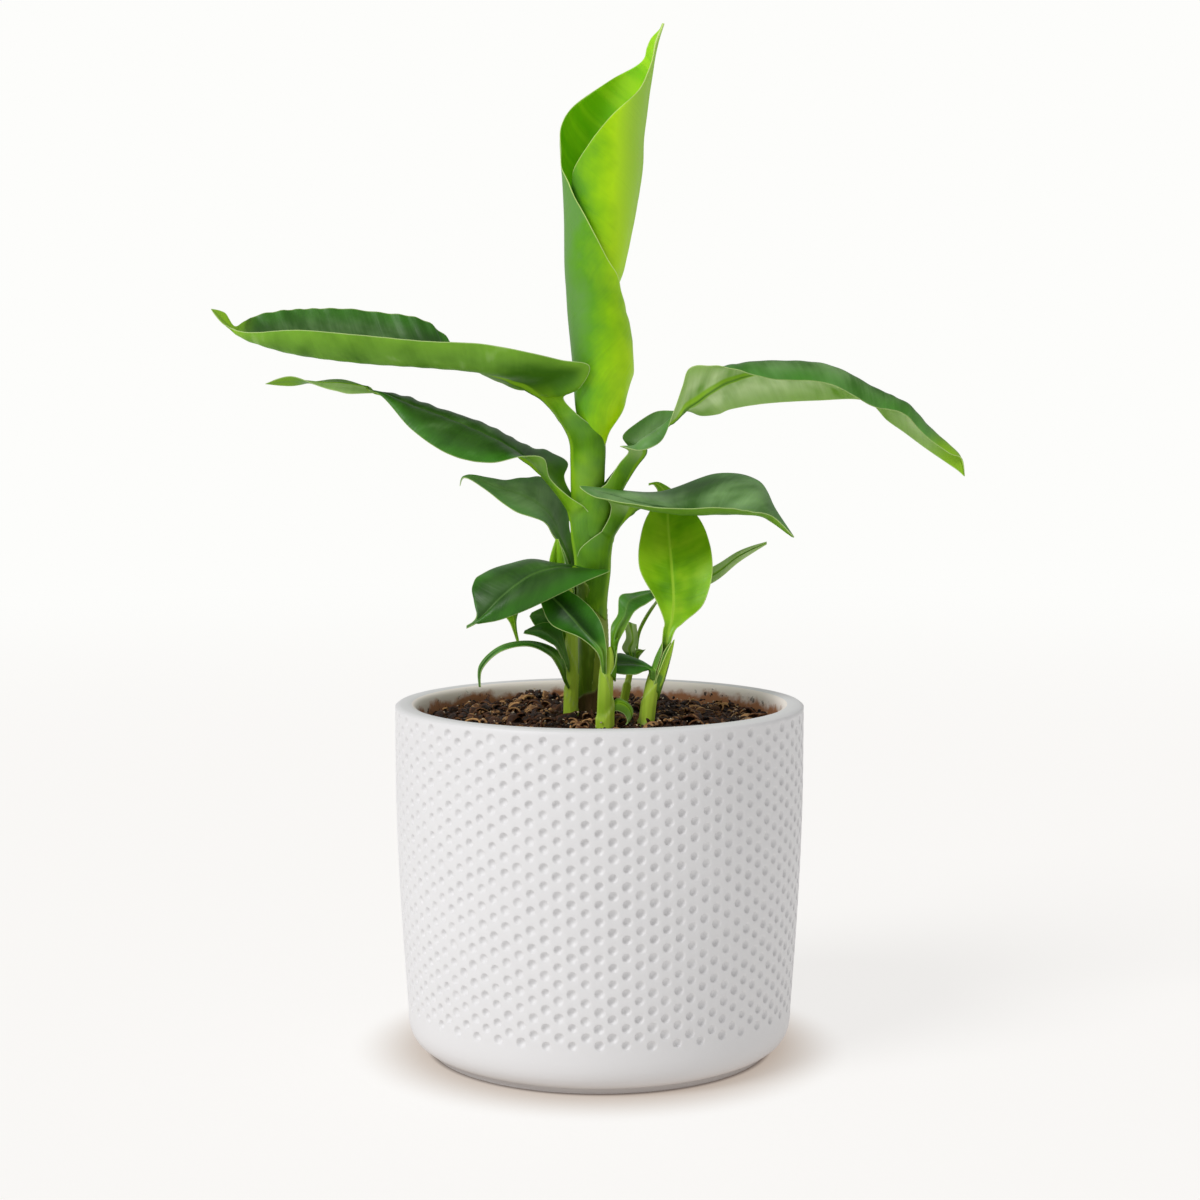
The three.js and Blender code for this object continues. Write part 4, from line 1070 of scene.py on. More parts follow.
ROLLED_LEAF = [
    [221, -3, 0, 1.5, -60, 430], [226.4, -2.4, 0, 2.9, -80, 430], [232, -1.2, 0, 5, -100, 435],
    [238, -0.4, 0, 6.7, -120, 440], [246, 0.3, 0, 7.9, -150, 447], [252, 0.6, 0, 8.6, -170, 450],
    [266, -0.8, 0, 8.6, -180, 455], [272, -1.9, 0, 8, -175, 448], [279, -2.3, 0, 8, -168, 427],
    [284.5, -1.5, 0, 9.2, -160, 399], [290, -0.9, 0, 10, -150, 376], [304, 0.5, 0, 11.5, -130, 337],
    [316, 1.3, 0, 12.8, -90, 304], [324, 1.5, 0, 13.6, -47, 277], [333, 1.4, 0, 14, -12, 270],
    [341, 2.7, 0, 13.7, 13, 266], [349, 5.2, 0, 12.2, 46, 230], [356, 8.5, 0, 10, 66, 200],
    [362, 11.3, 0, 8.1, 74, 151], [366.5, 12.9, 0, 7.5, 78, 146], [370.5, 14.6, 0, 6.9, 82, 138],
    [374, 16.2, 0, 6.4, 86, 97],
]
RIB_TURN = 90

# The gain in radius with each turn of the roll, its mesh, and where its bloom is thinnest
SCROLL_PITCH = 3.2
SCROLL_COLUMNS = 150
SCROLL_STEPS = 12
BLOOM_PLACE = (-5, -11, 277)


def scroll_mesh(blade):
    """Points, faces, places and looks of the roll, its rib and thin wavy margins."""
    rows = smooth_rows(ROLLED_LEAF, SCROLL_STEPS)
    z, x, y, radius, start, end = (rows[:, k][:, None] for k in range(6))
    share = 0.5 - 0.5 * np.cos(np.linspace(0, math.pi, SCROLL_COLUMNS))
    turn = end + (start - end) * share
    reach = radius + SCROLL_PITCH * (turn - RIB_TURN) / 360
    heights = z + 0 * turn
    grid = round_axis(x, y, reach, np.radians(turn), heights)
    off = reach * np.radians(turn - RIB_TURN)
    edge = np.minimum(np.abs(turn - start), np.abs(end - turn)) * np.radians(1) * reach
    lip = 0.25 * np.exp(-edge / 0.8) * np.sin(heights * 0.5)
    half = blade / 2 * (0.55 + 0.45 * smooth_step(edge, 0, 1.2))
    rib = 0.5 * np.exp(-(off / 1.6) ** 2)
    faces, _ = sheet_faces(*grid.shape[:2])
    place = np.stack([heights, off, edge], -1).reshape(-1, 3)
    outer = np.zeros_like(place)
    looks = np.concatenate([outer + (1, 0, 0), outer])
    return sheet_points(grid, half + lip, half - lip + rib), faces, np.concatenate([place, place]), looks


class BANANA_OT_rolled_leaf(bpy.types.Operator):
    """Roll up the new leaf at the top of the plant"""

    bl_idname = "banana.rolled_leaf"
    bl_label = "Rolled leaf"

    def execute(self, context):
        plant = context.scene.banana_plant
        points, faces, place, look = scroll_mesh(plant.blade / MM)
        piece = make_object(
            "Rolled_new_leaf", points, faces, [rolled_blade()], attributes={"place": place, "look": look}
        )
        stand_for(piece, "rolled_leaf")
        return {"FINISHED"}


# Open leaves. A station is the place of one margin, the rib and the other margin, then
# how far each half bows towards the underside. They run from the stem to the tip.

MAIN_LEAVES = {
    "upper_left_leaf": [
        [[-8, -7.2, 234], [-16, 0, 234], [-8, 7.2, 234], 2, 2],
        [[-13, -5, 240], [-21, 0, 240], [-18, 5, 242], 1, 1],
        [[-7, -10, 243.5], [-24, 0, 242], [-23, 8, 243], 2, 0],
        [[-3.6, -13, 251.3], [-28, 0, 244.5], [-30, 12, 243], 3, -1],
        [[-14, -14.5, 253.4], [-32, 0, 246.5], [-36, 15, 244.5], 4, -1],
        [[-25, -16, 256], [-37, 0, 248.5], [-43, 18, 248], 5, -1],
        [[-42, -17, 259], [-50, 0, 252], [-54, 17, 260], 6, 2],
        [[-62, -17, 260], [-66, 0, 254], [-66, 15, 269], 6, 3],
        [[-84, -17, 262], [-86, 0, 255], [-84, 15, 272], 6, 3],
        [[-107, -14, 264], [-109, 0, 257], [-106, 12, 273], 5, 2],
        [[-124, -8, 263.4], [-125, 0, 260.5], [-124, 8, 270.6], 2, 1],
        [[-130.3, -3.5, 264], [-130.6, 0, 262.8], [-129.5, 4, 268], 0.5, 0.3],
        [[-133, -1, 265], [-133, 0, 264.4], [-132.8, 1, 266], 0, 0],
        [[-136.8, -2, 267], [-136.8, 0, 267.8], [-136.5, 2, 270.8], 0, 0],
        [[-141, -0.4, 272], [-141, 0, 272.1], [-141, 0.4, 272.2], 0, 0],
    ],
    "middle_left_leaf": [
        [[-6, -7, 201], [-11.5, 0, 199], [-7, 7, 201], 2, 2],
        [[-12, -6, 205], [-15, 0, 205], [-11, 6, 206], 1, 1],
        [[-18, -5, 211], [-19, 0, 211], [-13, 7, 211], 1, 1],
        [[-20, -9, 218], [-23, 0, 215], [-12, 11, 216], 1.5, 0],
        [[-27, -10, 219], [-27, 0, 218], [-18, 12, 220], 0, 0],
        [[-40, -10, 216.5], [-36, 1, 224], [-28, 12, 223], -1.5, -1],
        [[-54, -11, 219.5], [-51, 1, 231], [-43, 12, 230], -2, -1.5],
        [[-68, -7, 228.5], [-67, 1, 237], [-60, 9, 236], -1.5, -1],
        [[-80, 0, 241], [-80, 1, 242], [-75, 5, 241.5], -0.5, 0],
        [[-93, 5, 246.5], [-92, 0, 244.5], [-90, -4, 241.5], 0, 0],
        [[-103, 2, 246], [-102, -1, 245], [-101, -4, 244], 0, 0],
        [[-112, 0.5, 244.3], [-112, -1, 246], [-112, -2.5, 247.7], 0, 0],
        [[-121.5, -0.9, 244.9], [-121.5, -1, 245], [-121.5, -1.1, 245.1], 0, 0],
    ],
    "low_left_leaf": [
        [[-9.6, 0.4, 174], [-8.4, 5.2, 171], [-4, 7.9, 174], 1.8, 1.8],
        [[-13, 1.5, 184], [-11.5, 5, 182], [-8, 8.5, 184], 1, 1],
        [[-17, 0, 190], [-15, 5, 190], [-11, 11, 191], 0.8, 0.5],
        [[-20.5, -3, 195], [-19, 4, 198], [-12, 15, 204], 1, 0.5],
        [[-31, -5, 199], [-27, 3, 204], [-20, 16, 210.5], 1, 0],
        [[-42, -3, 207], [-39, 1, 208], [-35, 7, 210], 0.5, 0],
        [[-49, -2, 211], [-49, -0.8, 211.5], [-48, 0.5, 212], 0, 0],
        [[-51, -2.6, 208], [-51, -2, 208], [-51, -1.4, 208], 0, 0],
    ],
    "upper_right_leaf": [
        [[1, 6.5, 208], [8, 0, 206], [2.5, -7, 209], 2, 2],
        [[7.5, 5, 216], [12.5, 0, 214.5], [7, -5, 216], 1, 1],
        [[11, 4, 221], [16, 0, 220], [10.5, -4, 220.5], 0.8, 0.8],
        [[8.5, 3.5, 226], [16, 0, 222], [7.5, -7, 222.5], 0.5, 0.5],
        [[14, 6, 231], [18, 0, 226], [14.5, -8.5, 221], 0.5, -1.5],
        [[21, 6, 235], [23.5, 0, 230], [22.5, -7, 224.5], 0.5, -2],
        [[28, 2.5, 235.2], [27.5, 0, 233.5], [27, -2.5, 235], 0, 0],
        [[33, 5, 235], [31, 0, 236.5], [30, -5, 244], 0, 0],
        [[37.5, 7, 233.5], [35, 0, 239], [32.5, -7, 250.5], 0.5, 0],
        [[43.5, 8, 234], [41.5, 0, 243.5], [40, -8, 251.5], 0, -1],
        [[49, 8, 236], [49, 0, 247], [47.5, -10, 250.5], -0.5, -3],
        [[62, 7, 238], [62, 0, 250], [62, -11, 246.5], -1, -5],
        [[80, 5, 239], [80, 0, 247], [82, -11, 245], -1, -6],
        [[97, 4, 239], [97, 0, 241.5], [98, -9, 237], -1, -5],
        [[105.5, 4, 231.7], [105.5, 0, 237.8], [105, -8, 235.6], -1, -4],
        [[111.5, 4, 227.5], [112, 0, 235.2], [110.7, -7, 233.6], -1, -3],
        [[119.2, 3.5, 221.8], [120.8, 0, 228.7], [118, -5, 226.3], -0.8, -1.5],
        [[127, 2.5, 216.4], [130, 0, 221], [127.2, -3.5, 219.9], -0.4, -0.4],
        [[130.8, 1, 213.7], [132.3, 0, 217], [132.2, -1, 218], 0, 0],
        [[133.5, 0.4, 211.4], [133.5, 0, 211.5], [133.5, -0.4, 211.6], 0, 0],
    ],
    "middle_right_leaf": [
        [[2, 7.5, 191], [5.5, 0, 191], [1, -7.6, 192], 2, 2],
        [[7.5, 5, 198], [10, -1, 197.5], [3.9, -6, 198], 1, 1],
        [[8, -5, 203], [13.5, -3, 200.5], [2.8, -8.5, 203], 0, 0],
        [[-7, -13, 208], [17, -4, 201], [-7, -13.2, 207.9], 0, 0],
        [[1, -8, 207.5], [22, -4, 200.5], [0, -15, 204], -0.5, 1],
        [[22, 9, 205.5], [33, -3, 199], [24, -16, 200.5], -1, 1.8],
        [[44, 17, 212], [46, -3, 199], [44, -14, 200.5], -2, 1.8],
        [[59, 14, 209.5], [56, -3, 199], [55, -10, 199], -2, 1.4],
        [[65, 5, 199], [63, -3, 195.5], [63, -6, 197], -0.5, 0.5],
        [[71, -2.9, 189.5], [71, -3.5, 189.3], [71, -4.1, 189.5], 0, 0],
    ],
}
SHOOT_LEAVES = {
    "left_shoot_big_leaf": [
        [[-11.5, -14, 174], [-10.5, -11.5, 175], [-9, -9, 174], 0.6, 0.6],
        [[3.5, -13, 177.6], [-9, -12.5, 178.4], [3.5, -12.8, 177.7], 0, 0],
        [[-4.5, -18.5, 174.4], [-12.5, -14.5, 179], [-4.5, -8, 177.6], -1, -1],
        [[-12, -22, 171], [-17, -17, 179], [-14, -5, 178.6], -1.5, -1.5],
        [[-25, -28, 165.2], [-25, -22, 176.5], [-26, -7, 181.2], -2, -2],
        [[-35, -30, 161.5], [-34, -26, 170], [-41, -15, 177.5], -1.5, -1.5],
        [[-42, -30, 160.2], [-41, -29, 163], [-45.4, -21, 172.6], -0.8, -0.8],
        [[-44, -30.6, 160], [-43.5, -30, 161], [-43.5, -29, 163], 0, 0],
        [[-47, -31, 158.5], [-47, -30.6, 159], [-47, -30.2, 159.5], 0, 0],
    ],
    "left_shoot_young_leaf": [
        [[-13.5, -2.4, 157], [-12.5, -1.8, 156], [-11, -2.6, 157], 0, 0],
        [[-16.5, -0.5, 168], [-15, 1.5, 168], [-12.5, 0.5, 168], -0.8, -0.8],
        [[-18.5, -1.4, 179], [-16, 0, 179], [-12.5, -1, 179], -0.8, -0.8],
        [[-16.1, -2.5, 188.6], [-15.5, -2.5, 188.6], [-14.9, -2.5, 188.6], 0, 0],
    ],
    "left_shoot_hanging_leaf": [
        [[-15, -7, 159.5], [-14, -6.5, 159.5], [-13.6, -6, 160.5], 0, 0],
        [[-21.5, -5.5, 167], [-20.5, -4, 169], [-19.5, -2.4, 171.5], 0.5, 0.5],
        [[-28.5, -4, 166.5], [-27, 0, 170.5], [-26.5, 3, 174], 0.8, 0.8],
        [[-34.5, -5, 162], [-32, -2, 163], [-29, 1, 164], 0.3, 0.3],
        [[-32.5, -4.5, 157.5], [-31.5, -3.5, 157.5], [-30.5, -2.5, 158], 0, 0],
        [[-30.3, -4.6, 151], [-29.8, -4.5, 151], [-29.3, -4.4, 151], 0, 0],
    ],
    "left_shoot_side_leaf": [
        [[-12.5, -8, 143], [-12, -6.5, 143], [-11, -5, 144], 0.3, 0.3],
        [[-15.5, -11, 149.5], [-14.5, -9.5, 150], [-13, -6, 152], 0.4, 0.4],
        [[-18, -12, 151.5], [-16.5, -10.5, 153], [-14.5, -6, 156.5], 0.4, 0.4],
        [[-23, -13, 154], [-21, -12, 156], [-20, -8, 158.5], 0.3, 0.3],
        [[-27.5, -12.8, 155], [-27.3, -12.5, 155.5], [-27.1, -12.2, 156], 0, 0],
    ],
    "left_shoot_back_leaf": [
        [[-13, -3, 149.5], [-12.5, -2, 150], [-11.5, -1, 150.5], 0.2, 0.2],
        [[-17.5, -4, 154.5], [-16, -2, 156.5], [-13.5, 0, 158.5], 0.3, 0.3],
        [[-23, -4.5, 156.5], [-20.5, -2.5, 160.5], [-17.5, -0.5, 164], 0.4, 0.4],
        [[-25.6, -4.2, 160.5], [-25.2, -4, 161], [-24.8, -3.6, 161.8], 0, 0],
    ],
    "left_shoot_arching_leaf": [
        [[-13, -6.5, 136.5], [-12.6, -7.2, 137], [-12, -7, 138], 0.3, 0.3],
        [[-15.2, -10, 142.5], [-14, -10.2, 143], [-12.6, -8.6, 144], 0.3, 0.3],
        [[-18.2, -12.4, 147], [-18, -11.5, 148.5], [-16.6, -9, 149.4], 0.4, 0.4],
        [[-26, -13.5, 150.5], [-26, -12, 151.5], [-25.5, -9.5, 152], 0.4, 0.4],
        [[-36, -13.5, 148.3], [-36, -12.5, 149.8], [-36, -10.5, 150.3], 0.3, 0.3],
        [[-42.5, -13.5, 142], [-43, -13.3, 143], [-43.5, -11.5, 143.5], 0.2, 0.2],
        [[-43, -13.8, 135.5], [-43.4, -13.5, 135.5], [-43.8, -13, 135.5], 0, 0],
    ],
    "front_shoot_left_leaf": [
        [[0.5, -28.5, 145], [1.5, -29.5, 145], [2.5, -29, 145], 0.4, 0.4],
        [[-1, -29, 150], [0.3, -29, 151], [2.5, -27, 151.5], 0.5, 0.5],
        [[-7, -27, 155], [-5, -24.5, 156.5], [0.5, -20, 160], 1, 1],
        [[-17, -23, 159], [-13, -20, 165], [-5.5, -15, 167], 1, 1],
        [[-21, -18, 166.5], [-19, -15, 170.5], [-14.5, -13, 172.5], 0.5, 0.5],
        [[-22.4, -12.3, 173.7], [-22, -12, 174], [-21.6, -11.7, 174.3], 0, 0],
    ],
    "front_shoot_right_leaf": [
        [[4, -23.5, 145], [5.6, -25, 144.5], [5.4, -26.6, 145], 0.4, 0.4],
        [[4, -21.5, 153], [5.3, -24, 153.5], [6.8, -23, 152.5], 0.5, 0.5],
        [[4.2, -20, 158.5], [6.6, -22, 158], [9.4, -20.5, 157.5], 0.6, 0.5],
        [[6.6, -16, 162.3], [9, -19.5, 162], [12, -18, 162.5], 0.4, 0.4],
        [[7.3, -13, 168.5], [10.5, -15.5, 166.5], [14, -16, 164.3], 0.2, 0.4],
        [[12, -8, 169.3], [14, -10.5, 168], [17, -12.5, 165.7], 0.4, 0.3],
        [[18, -3.5, 169.9], [18.6, -5.5, 169], [19.8, -7.5, 167.2], 0.2, 0.2],
        [[22.5, 0.2, 169.3], [22.5, 0, 169.3], [22.5, -0.2, 169.3], 0, 0],
    ],
    "front_shoot_curled_leaf": [
        [[4.4, -27, 127.5], [5.2, -25.5, 130.3], [5, -23.5, 131.6], 0.2, 0.2],
        [[6, -26.5, 128.6], [6.8, -25, 131], [6.8, -22.5, 132.6], 0.3, 0.3],
        [[8.8, -25.5, 127.2], [9.6, -24, 129.6], [10, -21.5, 131], 0.4, 0.4],
        [[10, -25, 124.5], [11, -24, 126.8], [12, -22, 128.4], 0.3, 0.3],
        [[9.4, -25, 123.4], [10.2, -24.3, 124.4], [11, -23.4, 125.6], 0, 0],
    ],
    "right_shoot_broad_leaf": [
        [[22.6, -16.8, 152.5], [24.2, -15, 151.5], [25.8, -16.6, 152.5], 0.5, 0.5],
        [[23, -15.4, 156.5], [25.2, -13.8, 156.5], [27.4, -15, 156.5], 0.4, 0.4],
        [[23.4, -13.6, 159.5], [26.2, -12.2, 160], [30.5, -13.2, 159], 0.4, 0.4],
        [[20.6, -9.2, 166.6], [27, -7, 167.3], [38, -8.6, 165.8], 0.8, 1],
        [[14.5, -2, 178.5], [26.5, 1, 178.5], [41.5, -0.5, 179], 1, 1],
        [[16, 7.5, 192.5], [25.5, 10, 192.5], [38.5, 9, 193], 0.8, 0.8],
        [[21.5, 16, 203.5], [25, 17.5, 203.5], [30, 17, 203.5], 0.3, 0.3],
        [[20.5, 19, 207.5], [21.5, 19.3, 208], [23, 19.3, 208.5], 0, 0],
        [[18.4, 19.3, 207.4], [18.4, 19.5, 207.8], [18.4, 19.7, 208.3], 0, 0],
    ],
    "right_shoot_low_leaf": [
        [[17.6, -18.6, 142.4], [18.8, -19.6, 142.1], [20.4, -19, 142.4], 0.3, 0.3],
        [[15.8, -20.8, 142], [16.8, -19, 143.4], [18.2, -16, 143.6], -0.3, -0.3],
        [[12.5, -22, 141], [12.2, -17, 144.2], [13.2, -11, 145.4], -1, -1],
        [[6, -22, 141.5], [5.5, -17.5, 144.5], [7, -11, 147.5], -0.8, -0.8],
        [[2, -19.6, 143.2], [1.8, -18.8, 143.5], [2, -17.8, 144], 0, 0],
    ],
    "right_shoot_bract": [
        [[20.6, -19, 139.5], [22.9, -18, 138], [23.6, -15, 138], 0.4, 0.4],
        [[24, -18.4, 148], [25.4, -17.4, 147], [26, -14.4, 147], 0.3, 0.3],
        [[26.8, -16, 153], [27.1, -15.6, 153], [27.1, -15.1, 153], 0, 0],
    ],
    "small_shoot_long_leaf": [
        [[13.8, 23.8, 141], [14.2, 24, 141], [14.5, 24, 141], 0, 0],
        [[14.5, 24, 152], [15.2, 24.3, 152], [15.8, 24.6, 152], 0, 0],
        [[21, 17.5, 163.5], [21.8, 18, 164], [22.5, 18.5, 164.5], 0, 0],
        [[27.5, 14, 166], [27.5, 15, 168], [27, 16, 170], 0.3, 0.3],
        [[42, 10.5, 171.5], [42.5, 11.5, 174], [42.5, 13, 177.5], 0.4, 0.4],
        [[52, 9.5, 179.5], [52, 10, 181.5], [52, 10.5, 183.5], 0.2, 0.2],
        [[62, 8.8, 186], [62, 9, 186.5], [62, 9.2, 187], 0, 0],
    ],
    "small_shoot_crumpled_leaf": [
        [[11, 22.5, 142.5], [12, 21.5, 143], [13.5, 22.5, 143], 0.2, 0.2],
        [[8.5, 21, 146], [11.5, 20.5, 146], [13.5, 22, 145.5], 0.3, 0.3],
        [[10, 19, 150.5], [12.5, 20.5, 149.5], [14.5, 22, 148.5], -0.5, 0.5],
        [[9, 18, 156], [11.5, 19.5, 156], [14, 21.5, 155], 0.3, 0.3],
    ],
    "small_shoot_right_leaf": [
        [[13.5, 21, 141.5], [14, 20.5, 142], [14.5, 20.5, 141.5], 0, 0],
        [[13.5, 19.5, 145.5], [14.5, 19.5, 144.5], [15.2, 20, 143], 0.2, 0.2],
        [[17, 19.2, 145.3], [17.2, 19.7, 145.5], [17.4, 20.2, 145.7], 0, 0],
    ],
}

# How the sheath of a leaf wraps the stem below its stalk, from the bottom up:
# turn and height of the first margin, the rib and the second margin, then the radius
# of the wrap and where its middle is. Turns are in degrees from the front by the right.
SHEATH_WRAPS = {
    "upper_left_leaf": [
        [(100, 204), (-90, 196), (-280, 204), 5.4, -4, 0],
        [(95, 215), (-90, 206), (-275, 215), 6.05, -4.2, 0],
        [(78, 222.5), (-90, 216), (-265, 222.5), 6.3, -4.1, 0],
        [(42, 227.3), (-90, 225), (-235, 227.3), 6.7, -4.4, 0],
    ],
    "middle_left_leaf": [
        [(24, 182), (-90, 172), (-200, 183), 5.5, -3.4, 0],
        [(17, 191), (-90, 181), (-195, 190), 5.6, -3.5, 0],
        [(3, 197.3), (-90, 188), (-180, 196), 6.6, -3.5, 0],
        [(-12, 200), (-90, 194), (-165, 200), 6.9, -3.6, 0],
    ],
    "low_left_leaf": [
        [(-70, 160), (-124, 154), (-185, 160), 5.4, -3, 2.4],
        [(-75, 168), (-124, 163), (-178, 168), 6.2, -3, 1.8],
    ],
    "upper_right_leaf": [
        [(190, 192), (90, 184), (-80, 197), 5.8, -3.2, 0],
        [(180, 199), (90, 192), (-72, 203.5), 6.8, -2.8, 0],
        [(170, 203), (90, 199), (5, 206.4), 7.6, -2.4, 0],
    ],
    "middle_right_leaf": [
        [(200, 172), (90, 158), (-85, 172), 5.4, -3, 1.5],
        [(190, 178), (90, 167), (-62, 179.5), 5.9, -3.1, 1],
        [(180, 184), (90, 176), (-36, 184.8), 6.95, -3.1, 0.5],
        [(165, 188), (90, 182), (-5, 188.4), 7.2, -3.1, 0.2],
        [(155, 190), (90, 187), (22, 191), 7.6, -2.9, 0.1],
    ],
    "front_shoot_right_leaf": [
        [(180, 141.5), (100, 139), (20, 142), 2.6, 3, -25.8],
    ],
    "right_shoot_broad_leaf": [
        [(-4, 136), (-180, 130), (-356, 136), 2.4, 19, -16.4],
        [(-4, 143), (-180, 138), (-356, 143), 2.8, 21, -15.6],
        [(-6, 149), (-180, 145), (-354, 149), 2.6, 22.9, -15.2],
    ],
}

# Shade of the upper and the under face of each blade, from 0 deep to 1 soft, the length
# of its stalk and how far its margins wave, both in millimetres, and how fresh its tip is
# Tones over 1 on the bract and the small shoot's leaves are painted light, against the shade they stand in
BLADE_LOOKS = {
    "upper_left_leaf": (0.5, 0.35, 14, 0.6, 0.9), "middle_left_leaf": (0.42, 0.75, 20, 0.35, 0.6),
    "low_left_leaf": (0.85, 0.5, 22, 0.2, 0), "upper_right_leaf": (0.65, 0.8, 18, 0.15, 0.9),
    "middle_right_leaf": (0.68, 0.4, 12, 0.1, 0), "left_shoot_big_leaf": (0.25, 0.5, 4, 0.1, 0),
    "left_shoot_young_leaf": (0.5, 0.5, 8, 0.1, 0), "left_shoot_hanging_leaf": (0.4, 0.3, 10, 0.1, 0),
    "left_shoot_side_leaf": (0.55, 0.6, 8, 0.1, 0), "left_shoot_back_leaf": (0.5, 0.5, 8, 0.1, 0),
    "left_shoot_arching_leaf": (0.4, 0.5, 14, 0.1, 0), "front_shoot_left_leaf": (-0.25, 0.3, 9, 0.1, 0),
    "front_shoot_right_leaf": (0.6, 0.5, 20, 0.1, 0), "front_shoot_curled_leaf": (0.8, 0.8, 9, 0.1, 0),
    "right_shoot_broad_leaf": (0.55, 0.6, 3, 0.1, 0), "right_shoot_low_leaf": (0.25, 0.3, 1, 0.2, 0),
    "right_shoot_bract": (1.3, 1.3, 2, 0.1, 0), "small_shoot_long_leaf": (1.6, 1.6, 30, 0.1, 0),
    "small_shoot_crumpled_leaf": (1.7, 1.7, 2, 0.5, 0), "small_shoot_right_leaf": (0.8, 0.8, 3, 0.2, 0),
}

# Painted shade near the stalk of a blade, where its base lies in shade: how much darker
# it is, less than 0 being paler, and over what length in millimetres
PAINTED_BASE_SHADES = {
    "upper_left_leaf": 0.45, "middle_left_leaf": 0.2, "upper_right_leaf": -0.4, "middle_right_leaf": -0.3,
}
BASE_LENGTH = 24

# Leaves with a young blade on both faces or above only, and those given the pale underside above as painted
# light, in the shade at the back
YOUNG_LEAVES = {
    "left_shoot_young_leaf", "left_shoot_hanging_leaf", "right_shoot_broad_leaf", "right_shoot_bract",
}
FRESH_ABOVE = {"front_shoot_curled_leaf"}
PALE_FOR_PAINTED_LIGHT = {"small_shoot_long_leaf", "small_shoot_crumpled_leaf", "small_shoot_right_leaf"}

# Where the columns of a blade lie, as shares of a half from the rib out: close together
# by the rib and the margin
HALF_SHARES = [0, 0.03, 0.07, 0.12, 0.18, 0.26, 0.35, 0.45, 0.55, 0.65, 0.75, 0.84, 0.91, 0.96, 0.985, 1]
SHARES = np.array([-share for share in HALF_SHARES[:0:-1]] + HALF_SHARES)[None, :]
MIDDLE_COLUMN = len(HALF_SHARES) - 1

# Rows between two stations of a blade, and the thickness of its rib at the stem
MAIN_LEAF_MESH = (14, 2.6)
SHOOT_LEAF_MESH = (10, 1.5)
RIB_AT_TIP = 0.9
RIB_HALF_WIDTH = 1.4
GROOVE_DEPTH = 0.35
GROOVE_HALF_WIDTH = 0.8
SHEATH_SHARE = 0.14
FOOT_DEPTH = 3.5

# How far ripples fall back towards the stem for each millimetre off the rib, and the
# share of them that the first half of a blade has
RIPPLE_SLANT = 0.6
FIRST_HALF_WAVES = 0.2


def half_grid(rib, margin, along, bow, side):
    """Points of one half of a blade, from its rib out to its margin."""
    share = np.array(HALF_SHARES)[None, :, None]
    under = unit(np.cross(along, (margin - rib) * side))[:, None, :]
    swell = 4 * share * (1 - share) * bow[:, None, None]
    return rib[:, None] + (margin - rib)[:, None] * share + under * swell


def blade_rows(stations, steps):
    """Rows of points over a blade, from margin to margin, stem to tip."""
    rows = smooth_rows([np.hstack(station) for station in stations], steps)
    first, rib, second = rows[:, 0:3], rows[:, 3:6], rows[:, 6:9]
    along = np.gradient(rib, axis=0)
    left = half_grid(rib, first, along, rows[:, 9], -1)
    right = half_grid(rib, second, along, rows[:, 10], 1)
    return np.concatenate([left[:, :0:-1], right], axis=1)


def wrap_row(first, rib, second, radius, x, y):
    """A row round the stem, from (turn, height) at one margin by the rib to the other."""
    share = np.array(HALF_SHARES)
    halves = []
    for margin in (first, second):
        turn = np.radians(rib[0] + (margin[0] - rib[0]) * share)
        z = rib[1] + (margin[1] - rib[1]) * share ** 1.4
        halves.append(round_axis(x, y, radius, turn, z))
    return np.concatenate([halves[0][:0:-1], halves[1]])


def sunk_row(row, path):
    """A row a little lower, drawn in under the stem's surface."""
    low = row - (0, 0, FOOT_DEPTH)
    axis = smooth_rows(path, 12)
    near = axis[np.argmin(np.abs(axis[None, :, 2] - low[:, 2:3]), axis=1)]
    out = low[:, :2] - near[:, :2]
    reach = np.minimum(np.linalg.norm(out, axis=1), near[:, 3] * 0.85)[:, None]
    low[:, :2] = near[:, :2] + unit(out) * reach
    return low


def leaf_rows(stations, wraps, path, steps):
    """Rows of the whole leaf, and how many of them are sheath."""
    rows = blade_rows(stations, steps)
    foot = [wrap_row(*wrap) for wrap in wraps] or [sunk_row(rows[0], path)]
    known = np.array(foot + [rows[0], rows[steps // 2], rows[steps]]).reshape(len(foot) + 3, -1)
    between = smooth_rows(known, steps // 2)
    sheath = between[:len(foot) * (steps // 2)].reshape(-1, rows.shape[1], 3)
    return np.concatenate([sheath, rows]), len(sheath)


def blade_places(grid, sheath):
    """For each point, how far it lies along the rib from the end of the sheath, off the
    rib and from the margin, and the width of its half of the blade there."""
    rib = grid[:, MIDDLE_COLUMN]
    run = np.concatenate([[0], np.cumsum(np.linalg.norm(np.diff(rib, axis=0), axis=1))])[:, None]
    pieces = np.linalg.norm(np.diff(grid, axis=1), axis=2)
    off = np.concatenate([np.zeros((len(grid), 1)), np.cumsum(pieces, axis=1)], axis=1)
    off = off - off[:, MIDDLE_COLUMN:MIDDLE_COLUMN + 1]
    widths = np.where(SHARES < 0, -off[:, :1], off[:, -1:])
    edge = np.maximum(widths - np.abs(off), 0)
    return run - run[sheath], off, edge, widths


